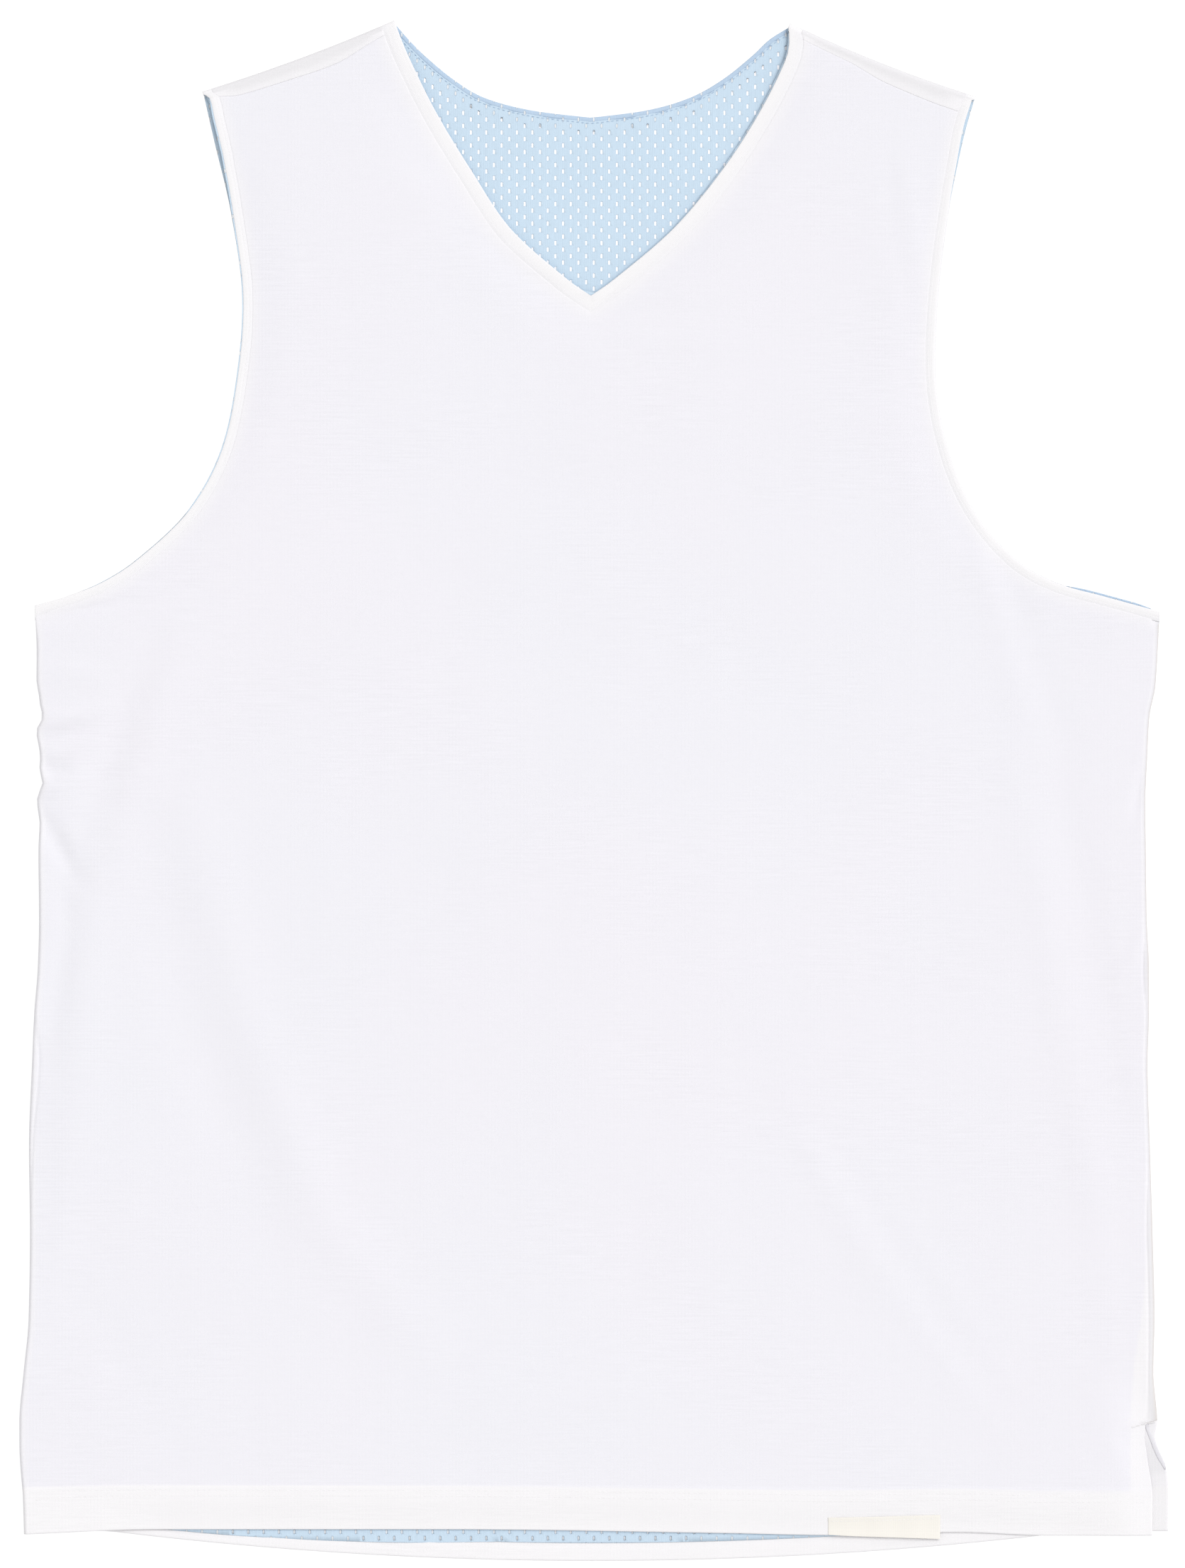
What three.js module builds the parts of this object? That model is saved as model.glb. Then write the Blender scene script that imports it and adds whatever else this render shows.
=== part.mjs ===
import * as THREE from 'three';

// A reversible sleeveless jersey laid flat, front side up: a white outer layer and a blue mesh lining,
// the front on the back. Millimetres. Seen from above, +X is right, +Y runs from the hem to the
// shoulders, and +Z is up from the surface it lies on. "down" is a distance along -Y below the high
// neck point, and x is measured from the middle of the whole outline.

// Driving sizes
const BODY_LENGTH = 800;
const CENTRE_X = -1.5;
const NECK_BAND = 7.4;
const ARMHOLE_BAND = 5;
const BAND_RAISE = 0.4;
const HEM_LINE = 761;
const HEM_RAISE = 0.5;
const HEM_STEP = 1;
const HEM_MIDDLE = 773;
const FRONT_HEM = 785;
const BACK_HEM = 784.5;
const BACK_HEM_DIP = { depth: 15.5, halfSpan: 252 };

// Layers of cloth, from the surface up
const WALL = 1;
const GAP = 0.3;
const LAYER = WALL + GAP;
const BACK_LINING_Z = LAYER;
const FRONT_LINING_Z = 2 * LAYER;
const FRONT_BODY_Z = 3 * LAYER;
const STACK = FRONT_BODY_Z + WALL;
const FOLD_RADIUS = STACK / 2;
const FOLD_STEPS = 6;

// Shoulder folds, from the neck point to the shoulder tip. The back runs over the fold and ends at a
// seam on the front, "wrap" below the fold at each end. "sag" is how far the fold bows in.
const SHOULDERS = {
  left: { neckX: -103.6, neckDown: 0, tipX: -203.4, tipDown: 37, sag: 1.5, wrapNeck: 7, wrapTip: 9.5 },
  right: { neckX: 101.8, neckDown: 1.5, tipX: 198.4, tipDown: 39.6, sag: 1.8, wrapNeck: 5.5, wrapTip: 9.2 },
};

// Edge of the front V, below the neck points, and its lowest point
const FRONT_NECK = [
  { down: 12, left: -99.2, right: 101.4 },
  { down: 23, left: -94.4, right: 98.5 },
  { down: 49, left: -81.2, right: 85.3 },
  { down: 78, left: -63.6, right: 66.5 },
  { down: 108, left: -43.4, right: 41.5 },
  { down: 133, left: -15.6, right: 12.4 },
];
const FRONT_NECK_LOW = 143;

// Edge of the round back neck, and its lowest point
const BACK_NECK = [
  { down: 10, left: -96, right: 91 },
  { down: 18.5, left: -87.5, right: 82 },
  { down: 30.5, left: -73, right: 67 },
  { down: 40, left: -57, right: 50 },
  { down: 46.5, left: -33, right: 28 },
];
const BACK_NECK_LOW = 50.4;

// Edge of the armholes on the back. The last row is the corner under the arm.
const ARMHOLE = [
  { down: 63.6, left: -197, right: 191.5 },
  { down: 100, left: -188.5, right: 184.4 },
  { down: 144, left: -182.7, right: 179 },
  { down: 188, left: -186, right: 177.9 },
  { down: 225, left: -194.4, right: 185 },
  { down: 255, left: -211.3, right: 198.1 },
  { down: 279, left: -236.5, right: 218.5 },
  { down: 291.4, left: -255.4, right: 239.6 },
  { down: 299, left: -274, right: 265.5 },
  { down: 307, left: -290, right: 293.6 },
];
// How far the front armhole edge lies inside that of the back
const FRONT_ARMHOLE_INSET = { upper: 1.7, lower: 0.5, from: 60, to: 110 };

// Side edges of the back, and how far the edges of the front lie inside them
const SIDES = [
  { down: 307, left: -290, right: 293.6, frontInLeft: 0, frontInRight: 0 },
  { down: 326, left: -289, right: 292, frontInLeft: 0, frontInRight: 0 },
  { down: 346, left: -288.6, right: 290.7, frontInLeft: 0, frontInRight: 0 },
  { down: 361, left: -286.7, right: 288.6, frontInLeft: 0, frontInRight: 0 },
  { down: 369, left: -289.6, right: 288, frontInLeft: 0, frontInRight: 0 },
  { down: 383, left: -287.9, right: 287.4, frontInLeft: 0, frontInRight: 0 },
  { down: 395, left: -286.6, right: 286.8, frontInLeft: 0, frontInRight: 0 },
  { down: 404, left: -289.3, right: 286.4, frontInLeft: 0, frontInRight: 0 },
  { down: 431, left: -288.5, right: 286.7, frontInLeft: 0, frontInRight: 0 },
  { down: 468, left: -288.2, right: 286.8, frontInLeft: 0, frontInRight: 0.5 },
  { down: 491, left: -288.8, right: 288.1, frontInLeft: 0, frontInRight: 3.3 },
  { down: 516, left: -290.7, right: 288.1, frontInLeft: 0.6, frontInRight: 1.8 },
  { down: 541, left: -291.8, right: 287.2, frontInLeft: 4, frontInRight: 1.5 },
  { down: 585, left: -294, right: 288.2, frontInLeft: 2, frontInRight: 1.2 },
  { down: 630, left: -292.9, right: 289.6, frontInLeft: 0, frontInRight: 3.3 },
  { down: 674, left: -293.6, right: 290, frontInLeft: 0, frontInRight: 3.3 },
  { down: 702, left: -296.2, right: 289.3, frontInLeft: 0, frontInRight: 2.8 },
  { down: 728, left: -298.4, right: 292.2, frontInLeft: 0, frontInRight: 5.6 },
  { down: 740, left: -298.4, right: 293, frontInLeft: 0, frontInRight: 6 },
  { down: 753, left: -297.7, right: 297.3, frontInLeft: 0, frontInRight: 9 },
  { down: 766, left: -296.6, right: 298.4, frontInLeft: 0, frontInRight: 8.4 },
  { down: 785, left: -296, right: 298.2, frontInLeft: 0, frontInRight: 8 },
];

// The front comes down to meet the back along the side seams, over this width, and lies free of it
// beside the open vent at the right.
const SIDE_DROP = { depth: 2 * LAYER, width: 7 };
const VENT = { fadeFrom: 700, top: 724, side: 'right' };

// Waves in the lower edge of the front, below or above its level
const FRONT_HEM_WAVE = [
  { x: -296, below: 1 },
  { x: -230, below: -1.5 },
  { x: -80, below: -1.5 },
  { x: 70, below: 0.5 },
  { x: 122, below: 1.5 },
  { x: 190, below: 0 },
  { x: 236, below: 1.7 },
  { x: 290, below: 1.7 },
];
const HEM_WAVE_FROM = 735;

// The linings stop short of the edges they are turned in at
const LINING_EDGE = 1;
const LINING_SIDE = 14;
const LINING_ARMPIT = 24;
const LINING_TOP = 3.2;
const VENT_LINING_SIDE = 2;
const FRONT_LINING_HEM = 778;
const BACK_LINING_RISE = [
  { x: -290, rise: 4.2 },
  { x: -205, rise: 4.4 },
  { x: -95, rise: 6.6 },
  { x: -45, rise: 8.2 },
  { x: 290, rise: 8.2 },
];

// Soft swells of the front, by their middle, direction, length, width and rise
const SWELLS = [
  { x: 10, down: 440, turn: 90, length: 520, width: 400, rise: 1.4 },
  { x: -248, down: 376, turn: 103, length: 110, width: 36, rise: 1.5 },
  { x: -170, down: 300, turn: 62, length: 230, width: 70, rise: 1.1 },
  { x: 175, down: 330, turn: 118, length: 230, width: 70, rise: 0.9 },
  { x: -120, down: 590, turn: 70, length: 260, width: 80, rise: 1 },
  { x: 185, down: 610, turn: 128, length: 250, width: 60, rise: 1.2 },
];
const SWELL_TOP = { from: 60, to: 150 };
const SWELL_BOTTOM = { from: 690, to: 745 };

const LABEL = { left: 121.5, right: 180, top: 775.8, bottom: 787.2, wall: 1, columns: 4 };

// Rows and columns of the cloth
const FRONT_COLUMNS = { edge: [0, 1.6, 3.4, 5.2, 7], spread: 7 };
const BACK_COLUMNS = { edge: [0], spread: 6 };
const FRONT_ROWS = { neck: 10, belowNeck: 13, armholeShare: 0.37 };
const BACK_ROWS = { neck: 8, belowNeck: 15, armholeShare: 0.2 };
const LINING_COLUMNS = { edge: [0], spread: 5 };
const LINING_DOWNS = [350, 420, 500, 580, 660, 722, 742, 760];
const BELOW_ARMPIT = 12;

const COLOURS = { jersey: 0xf3f2f8, mesh: 0xcfe3f4, band: 0xfbfafb, label: 0xf8f4ea };
const ROUGHNESS = { knit: 0.9, woven: 0.75 };

const SIGNS = { left: -1, right: 1 };
const SIDE_NAMES = Object.keys(SIGNS);

const planPoint = (x, down) => new THREE.Vector2(x, -down);
const downOf = (point) => -point.y;
const sideOf = (point) => (point.x < CENTRE_X ? 'left' : 'right');
const leftHand = (v) => new THREE.Vector2(-v.y, v.x);
const stepFrom = (point, direction, distance) => point.clone().addScaledVector(direction, distance);

/** Value of a table's column at a key, on straight lines between its rows. */
function fromTable(table, key, column, at) {
  const last = table.length - 1;
  if (at <= table[0][key]) return table[0][column];
  if (at >= table[last][key]) return table[last][column];
  const next = table.findIndex((row) => row[key] > at);
  const [a, b] = [table[next - 1], table[next]];
  return THREE.MathUtils.mapLinear(at, a[key], b[key], a[column], b[column]);
}

/** The shoulder fold of one side, as points and directions on the plan. */
function shoulderFold(side) {
  const size = SHOULDERS[side];
  const neck = planPoint(size.neckX, size.neckDown);
  const tip = planPoint(size.tipX, size.tipDown);
  const along = tip.clone().sub(neck).normalize();
  const inward = leftHand(along).multiplyScalar(-SIGNS[side]);
  return { ...size, neck, tip, along, inward, length: tip.distanceTo(neck) };
}

const FOLDS = { left: shoulderFold('left'), right: shoulderFold('right') };

/** X of a side edge of the front or the back at a distance down. */
function sideEdgeX(panel, side, down) {
  const edge = fromTable(SIDES, 'down', side, down);
  if (panel === 'back') return edge;
  const inset = fromTable(SIDES, 'down', side === 'left' ? 'frontInLeft' : 'frontInRight', down);
  return edge - SIGNS[side] * inset;
}

/** How far a point of the plan moves down for the curve of the lower edge. */
function hemShift(panel, point) {
  const share = THREE.MathUtils.smoothstep(downOf(point), HEM_WAVE_FROM, FRONT_HEM);
  if (panel === 'front') return share * fromTable(FRONT_HEM_WAVE, 'x', 'below', point.x);
  return share * BACK_HEM_DIP.depth * Math.max(0, 1 - (point.x / BACK_HEM_DIP.halfSpan) ** 2);
}

/** A point of the plan moved to where the bowed shoulder and the curved hem put it. */
function settle(panel, point) {
  const fold = FOLDS[sideOf(point)];
  const fromNeck = point.clone().sub(fold.neck);
  const share = THREE.MathUtils.clamp(fromNeck.dot(fold.along) / fold.length, 0, 1);
  const fade = 1 - THREE.MathUtils.smoothstep(fromNeck.dot(fold.inward), 12, 60);
  const settled = stepFrom(point, fold.inward, fold.sag * 4 * share * (1 - share) * fade);
  settled.y -= hemShift(panel, point);
  return settled;
}

/** Height that the soft swells give the front at a point of the plan. */
function swell(point) {
  const down = downOf(point);
  let height = 0;
  for (const fold of SWELLS) {
    const turn = THREE.MathUtils.degToRad(fold.turn);
    const away = point.clone().sub(planPoint(fold.x, fold.down)).rotateAround(new THREE.Vector2(), -turn);
    height += fold.rise * Math.exp(-((2 * away.x / fold.length) ** 2) - (2 * away.y / fold.width) ** 2);
  }
  const top = THREE.MathUtils.smoothstep(down, SWELL_TOP.from, SWELL_TOP.to);
  const bottom = 1 - THREE.MathUtils.smoothstep(down, SWELL_BOTTOM.from, SWELL_BOTTOM.to);
  return height * top * bottom;
}

/** How far the front has come down at a point, towards its side seams. */
function sideDrop(point) {
  const side = sideOf(point);
  const armpit = SIDES[0];
  const down = downOf(point);
  const beside = Math.abs(sideEdgeX('front', side, Math.max(down, armpit.down)) - point.x);
  const above = Math.max(0, armpit.down - down);
  const share = 1 - THREE.MathUtils.smoothstep(Math.hypot(beside, above), 0, SIDE_DROP.width);
  const open = side === VENT.side ? THREE.MathUtils.smoothstep(down, VENT.fadeFrom, VENT.top) : 0;
  return SIDE_DROP.depth * share * (1 - open);
}

/** A cell of cloth: the points on its two faces, the outer one facing away from the wearer. */
function cell(plan, outerZ, innerZ) {
  const y = plan.y + BODY_LENGTH / 2;
  return { outer: new THREE.Vector3(plan.x, y, outerZ), inner: new THREE.Vector3(plan.x, y, innerZ) };
}

/** The layers of the garment: each places a point of the plan as a cell of cloth. */
const LAYERS = {
  frontBody(point, raise = 0) {
    const under = FRONT_BODY_Z + swell(point) - sideDrop(point);
    return cell(settle('front', point), under + WALL + raise, under);
  },
  frontLining(point) {
    const under = FRONT_LINING_Z + swell(point) / 2;
    return cell(settle('front', point), under + WALL, under);
  },
  backLining: (point) => cell(settle('back', point), BACK_LINING_Z, BACK_LINING_Z + WALL),
  backBody: (point) => cell(settle('back', point), 0, WALL),
};

/** Cells round a shoulder fold, from the top layer to the bottom one, for points on the fold line. */
function foldRows(side, linePoints, raise = 0) {
  const fold = FOLDS[side];
  const rows = [];
  for (let step = 1; step < FOLD_STEPS; step += 1) {
    const angle = Math.PI * (0.5 - step / FOLD_STEPS);
    const outerRadius = FOLD_RADIUS + raise * Math.max(0, Math.sin(angle));
    const innerRadius = FOLD_RADIUS - WALL;
    rows.push(linePoints.map((point) => {
      const centre = stepFrom(settle('back', point), fold.inward, FOLD_RADIUS);
      const turned = (radius) => {
        const plan = stepFrom(centre, fold.inward, -radius * Math.cos(angle));
        const height = FOLD_RADIUS + radius * Math.sin(angle);
        return new THREE.Vector3(plan.x, plan.y + BODY_LENGTH / 2, height);
      };
      return { outer: turned(outerRadius), inner: turned(innerRadius) };
    }));
  }
  return rows;
}

/**
 * Stations down a cut edge: each has its point and the direction from it into the cloth. Those on the
 * shoulder, as far as its seam, lie along the fold, and the last takes the direction and reach given.
 */
function edgeStations(points, lengths, cloth, onShoulder, first, last) {
  const curve = new THREE.SplineCurve(points);
  const total = curve.getLength();
  return lengths.map((length, index) => {
    const at = Math.min(length / total, 1);
    const point = curve.getPointAt(at);
    if (index < onShoulder) return { point, into: first, reach: 1 };
    if (index === lengths.length - 1) return { point, ...last };
    return { point, into: leftHand(curve.getTangentAt(at)).multiplyScalar(cloth), reach: 1 };
  });
}

/** Lengths along a curve: its start, the shoulder seam if it has one, then even steps by stretch. */
function stationLengths(seam, stretches) {
  const lengths = seam ? [0, seam] : [0];
  let from = lengths[lengths.length - 1];
  for (const { to, steps } of stretches) {
    for (let step = 1; step <= steps; step += 1) lengths.push(from + (to - from) * (step / steps));
    from = to;
  }
  return lengths;
}

/** Points of the neck edge of one side of the front or the back. */
function neckPoints(panel, side) {
  const fold = FOLDS[side];
  const table = panel === 'front' ? FRONT_NECK : BACK_NECK;
  const low = panel === 'front' ? FRONT_NECK_LOW : BACK_NECK_LOW;
  return [
    stepFrom(fold.neck, fold.inward, FOLD_RADIUS),
    ...table.map((row) => planPoint(row[side], row.down)),
    planPoint(CENTRE_X, low),
  ];
}

/** Points of the armhole edge of one side of the front or the back. */
function armholePoints(panel, side) {
  const fold = FOLDS[side];
  const inset = FRONT_ARMHOLE_INSET;
  const rows = ARMHOLE.map((row, index) => {
    if (panel === 'back' || index === ARMHOLE.length - 1) return planPoint(row[side], row.down);
    const share = THREE.MathUtils.smoothstep(row.down, inset.from, inset.to);
    const inward = THREE.MathUtils.lerp(inset.upper, inset.lower, share);
    return planPoint(row[side] - SIGNS[side] * inward, row.down + inset.lower);
  });
  return [stepFrom(fold.tip, fold.inward, FOLD_RADIUS), ...rows];
}

/** The neck and armhole edges of one side of a panel, as matching stations. */
function panelEdges(panel, side) {
  const fold = FOLDS[side];
  const rows = panel === 'front' ? FRONT_ROWS : BACK_ROWS;
  const neck = neckPoints(panel, side);
  const armhole = armholePoints(panel, side);
  const neckLength = new THREE.SplineCurve(neck).getLength();
  const armholeLength = new THREE.SplineCurve(armhole).getLength();
  const seamAt = (wrap) => (panel === 'front' ? wrap - FOLD_RADIUS : 0);
  const neckLengths = stationLengths(seamAt(fold.wrapNeck), [{ to: neckLength, steps: rows.neck }]);
  const armholeLengths = stationLengths(seamAt(fold.wrapTip), [
    { to: armholeLength * rows.armholeShare, steps: rows.neck },
    { to: armholeLength, steps: rows.belowNeck },
  ]);
  const straightDown = new THREE.Vector2(0, -1);
  const nextToLow = neck[neck.length - 2].clone().sub(neck[neck.length - 1]).normalize();
  const mitre = panel === 'front' ? 1 / Math.abs(nextToLow.x) : 1;
  const outwards = fold.along;
  const inwards = fold.along.clone().negate();
  const neckEnd = { into: straightDown, reach: mitre };
  const armholeEnd = { into: straightDown, reach: 1 };
  const onShoulder = panel === 'front' ? 2 : 1;
  return {
    neck: edgeStations(neck, neckLengths, SIGNS[side], onShoulder, outwards, neckEnd),
    armhole: edgeStations(armhole, armholeLengths, -SIGNS[side], onShoulder, inwards, armholeEnd),
  };
}

const EDGES = {
  front: { left: panelEdges('front', 'left'), right: panelEdges('front', 'right') },
  back: { left: panelEdges('back', 'left'), right: panelEdges('back', 'right') },
};

const inside = (station, distance) => stepFrom(station.point, station.into, distance * station.reach);

/** Points across a row, from its outer end to its inner end: close ones first, then evenly spaced. */
function acrossRow(outer, inner, columns) {
  const direction = inner.clone().sub(outer).normalize();
  const points = columns.edge.map((distance) => stepFrom(outer, direction, distance));
  const start = points[points.length - 1];
  for (let step = 1; step <= columns.spread; step += 1) {
    points.push(start.clone().lerp(inner, step / columns.spread));
  }
  return points;
}

/** Outer and inner ends of the rows of half a panel, from the shoulder to the hem. */
function halfRowEnds(panel, side, firstStation, sideDowns) {
  const { neck, armhole } = EDGES[panel][side];
  const ends = [];
  const neckEnd = inside(neck[neck.length - 1], NECK_BAND + GAP);
  const armpitEnd = inside(armhole[armhole.length - 1], ARMHOLE_BAND + GAP);
  const below = armhole.length - neck.length;
  for (let row = firstStation; row < armhole.length; row += 1) {
    const outer = inside(armhole[row], ARMHOLE_BAND + GAP);
    const share = (row - neck.length + 1) / below;
    const inner = row < neck.length
      ? inside(neck[row], NECK_BAND + GAP)
      : planPoint(CENTRE_X, THREE.MathUtils.lerp(downOf(neckEnd), downOf(armpitEnd), share));
    ends.push({ outer, inner, joined: row >= neck.length - 1 });
  }
  for (const down of sideDowns) {
    const outer = planPoint(sideEdgeX(panel, side, down), down);
    ends.push({ outer, inner: planPoint(CENTRE_X, down), joined: true });
  }
  return ends;
}

/** A sheet of cloth cells joined by triangles, which becomes a closed wall. */
class Sheet {
  constructor() {
    this.cells = new Map();
    this.triangles = [];
  }

  indexOf(clothCell) {
    if (!this.cells.has(clothCell)) this.cells.set(clothCell, this.cells.size);
    return this.cells.get(clothCell);
  }

  /** Adds rows of cells. A mirrored grid runs the other way round, so its faces are turned. */
  addRows(rows, mirrored = false, closed = false) {
    const count = closed ? rows.length : rows.length - 1;
    for (let row = 0; row < count; row += 1) {
      const here = rows[row].map((clothCell) => this.indexOf(clothCell));
      const next = rows[(row + 1) % rows.length].map((clothCell) => this.indexOf(clothCell));
      for (let column = 0; column < here.length - 1; column += 1) {
        const [a, b, c, d] = [here[column], here[column + 1], next[column + 1], next[column]];
        const pair = [[a, d, c], [a, c, b]];
        this.triangles.push(...(mirrored ? pair.map(([i, j, k]) => [i, k, j]) : pair));
      }
    }
  }

  /** Closes the sheet with its inner face and a wall along each free edge. */
  geometry() {
    const cells = [...this.cells.keys()];
    const count = cells.length;
    const positions = [...cells.map((c) => c.outer), ...cells.map((c) => c.inner)];
    const innerFaces = this.triangles.map(([a, b, c]) => [a + count, c + count, b + count]);
    const faces = [...this.triangles, ...innerFaces];
    const directed = new Set(this.triangles.flatMap(([a, b, c]) => [`${a} ${b}`, `${b} ${c}`, `${c} ${a}`]));
    for (const edge of directed) {
      const [from, to] = edge.split(' ').map(Number);
      if (directed.has(`${to} ${from}`)) continue;
      faces.push([from, from + count, to + count], [from, to + count, to]);
    }
    const volume = faces.reduce((sum, [a, b, c]) => sum + positions[a].dot(
      new THREE.Vector3().crossVectors(positions[b], positions[c])), 0);
    const outward = volume > 0 ? faces : faces.map(([a, b, c]) => [a, c, b]);
    const geometry = new THREE.BufferGeometry().setFromPoints(positions);
    geometry.setIndex(outward.flat());
    geometry.computeVertexNormals();
    return geometry;
  }
}

/** Joins the two halves of a panel: below the neck they share the cells of the middle line. */
function joinHalves(halves) {
  const sheet = new Sheet();
  halves.left.rows.forEach((row, index) => {
    if (halves.left.joined[index]) halves.right.rows[index].splice(-1, 1, row[row.length - 1]);
  });
  sheet.addRows(halves.left.rows);
  sheet.addRows(halves.right.rows, true);
  return sheet;
}

const SIDE_DOWNS = SIDES.map((row) => row.down).filter((down) => down > SIDES[0].down + BELOW_ARMPIT);

/** The front: from the shoulder seams to the hem, with its turned hem raised. */
function frontBody() {
  const plain = SIDE_DOWNS.filter((down) => down < HEM_LINE);
  const downs = [...plain, HEM_LINE, HEM_LINE + HEM_STEP, HEM_MIDDLE, FRONT_HEM];
  const halves = {};
  for (const side of SIDE_NAMES) {
    const fold = FOLDS[side];
    const ends = halfRowEnds('front', side, 1, downs);
    ends[0].outer = stepFrom(ends[0].outer, fold.inward, GAP);
    ends[0].inner = stepFrom(ends[0].inner, fold.inward, GAP);
    const rows = ends.map(({ outer, inner }) => acrossRow(outer, inner, FRONT_COLUMNS).map((point) => (
      LAYERS.frontBody(point, downOf(point) > HEM_LINE + GAP ? HEM_RAISE : 0))));
    halves[side] = { rows, joined: ends.map((end) => end.joined) };
  }
  return joinHalves(halves);
}

/** The back: from the seams on the front, over the shoulder folds, and down to the hem. */
function backBody() {
  const halves = {};
  const downs = [...SIDE_DOWNS.filter((down) => down < BACK_HEM), BACK_HEM];
  for (const side of SIDE_NAMES) {
    const fold = FOLDS[side];
    const front = EDGES.front[side];
    const seamRow = acrossRow(
      inside(front.armhole[1], ARMHOLE_BAND + GAP),
      inside(front.neck[1], NECK_BAND + GAP),
      BACK_COLUMNS,
    );
    const line = acrossRow(
      stepFrom(fold.tip, fold.along, -ARMHOLE_BAND - GAP),
      stepFrom(fold.neck, fold.along, NECK_BAND + GAP),
      BACK_COLUMNS,
    );
    const foldRow = line.map((point) => stepFrom(point, fold.inward, FOLD_RADIUS));
    const ends = halfRowEnds('back', side, 0, downs);
    const wrap = [seamRow, foldRow].map((row) => row.map((point) => LAYERS.frontBody(point)));
    const rows = ends.map(({ outer, inner }) => acrossRow(outer, inner, BACK_COLUMNS).map(LAYERS.backBody));
    const over = [...wrap, ...foldRows(side, line)];
    const apart = over.map(() => false);
    halves[side] = { rows: [...over, ...rows], joined: [...apart, ...ends.map((end) => end.joined)] };
  }
  return joinHalves(halves);
}

/** A mesh lining, a little inside the edges of its panel, with its own lower edge. */
function lining(panel, place, hemDown) {
  const halves = {};
  const armpit = SIDES[0].down;
  for (const side of SIDE_NAMES) {
    const fold = FOLDS[side];
    const { neck, armhole } = EDGES[panel][side];
    const sign = SIGNS[side];
    const ends = armhole.map((station, row) => {
      const outer = inside(station, LINING_EDGE);
      const limit = sideEdgeX(panel, side, armpit) - sign * LINING_ARMPIT;
      outer.x = sign * Math.min(sign * outer.x, sign * limit);
      const share = (row - neck.length + 1) / (armhole.length - neck.length);
      const low = downOf(neck[neck.length - 1].point) + LINING_EDGE;
      const inner = row < neck.length
        ? inside(neck[row], LINING_EDGE)
        : planPoint(CENTRE_X, THREE.MathUtils.lerp(low, armpit + LINING_EDGE, share));
      return { outer, inner, joined: row >= neck.length - 1 };
    });
    const topShift = LINING_TOP - FOLD_RADIUS;
    ends[0].outer = stepFrom(ends[0].outer, fold.inward, topShift);
    ends[0].inner = stepFrom(ends[0].inner, fold.inward, topShift);
    for (const down of LINING_DOWNS) {
      const free = panel === 'back' && side === VENT.side && down > VENT.top;
      const x = sideEdgeX(panel, side, down) - sign * (free ? VENT_LINING_SIDE : LINING_SIDE);
      ends.push({ outer: planPoint(x, down), inner: planPoint(CENTRE_X, down), joined: true });
    }
    const rows = ends.map(({ outer, inner }) => acrossRow(outer, inner, LINING_COLUMNS));
    rows.push(rows[rows.length - 1].map((point) => planPoint(point.x, hemDown(point.x))));
    const joined = [...ends.map((end) => end.joined), true];
    halves[side] = { rows: rows.map((row) => row.map((point) => place(point))), joined };
  }
  return joinHalves(halves);
}

/** Cells of a band at stations of a panel's edge: on the cut edge and at the band's seam. */
function bandRows(stations, width, place) {
  return stations.map((station) => [place(station.point), place(inside(station, width))]);
}

/** Places a point of the front as a cell of a band, which stands a little above the panel. */
const raisedFront = (point) => LAYERS.frontBody(point, BAND_RAISE);

/** The neck band: one loop down the V, up over both shoulder folds and round the back neck. */
function neckBand() {
  const overFold = (side) => {
    const fold = FOLDS[side];
    return foldRows(side, [fold.neck, stepFrom(fold.neck, fold.along, NECK_BAND)], BAND_RAISE);
  };
  const front = (side) => bandRows(EDGES.front[side].neck, NECK_BAND, raisedFront);
  const back = (side) => bandRows(EDGES.back[side].neck, NECK_BAND, LAYERS.backBody);
  const sheet = new Sheet();
  const rows = [
    ...front('left').reverse(),
    ...overFold('left'),
    ...back('left').slice(0, -1),
    ...back('right').reverse(),
    ...overFold('right').reverse(),
    ...front('right').slice(0, -1),
  ];
  sheet.addRows(rows, false, true);
  return sheet;
}

/** An armhole band: from the corner under the arm up the front, over the fold and down the back. */
function armholeBand(side) {
  const fold = FOLDS[side];
  const line = [fold.tip, stepFrom(fold.tip, fold.along, -ARMHOLE_BAND)];
  const sheet = new Sheet();
  sheet.addRows([
    ...bandRows(EDGES.front[side].armhole, ARMHOLE_BAND, raisedFront).reverse(),
    ...foldRows(side, line, BAND_RAISE),
    ...bandRows(EDGES.back[side].armhole, ARMHOLE_BAND, LAYERS.backBody),
  ]);
  return sheet;
}

/** The woven label that lies on the front hem near the right side. */
function hemLabel() {
  const row = (down) => Array.from({ length: LABEL.columns + 1 }, (unused, column) => {
    const x = THREE.MathUtils.lerp(LABEL.left, LABEL.right, column / LABEL.columns);
    const hem = LAYERS.frontBody(planPoint(x, down), HEM_RAISE + GAP);
    const { outer: under } = hem;
    return { outer: under.clone().setZ(under.z + LABEL.wall), inner: under };
  });
  const sheet = new Sheet();
  sheet.addRows([row(LABEL.top), row(LABEL.bottom)]);
  return sheet;
}

function clothMesh(name, sheet, color, roughness = ROUGHNESS.knit) {
  const material = new THREE.MeshStandardMaterial({ color, roughness, metalness: 0 });
  const mesh = new THREE.Mesh(sheet.geometry(), material);
  mesh.name = name;
  return mesh;
}

const backLiningHem = (x) => BACK_HEM - fromTable(BACK_LINING_RISE, 'x', 'rise', x);

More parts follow.
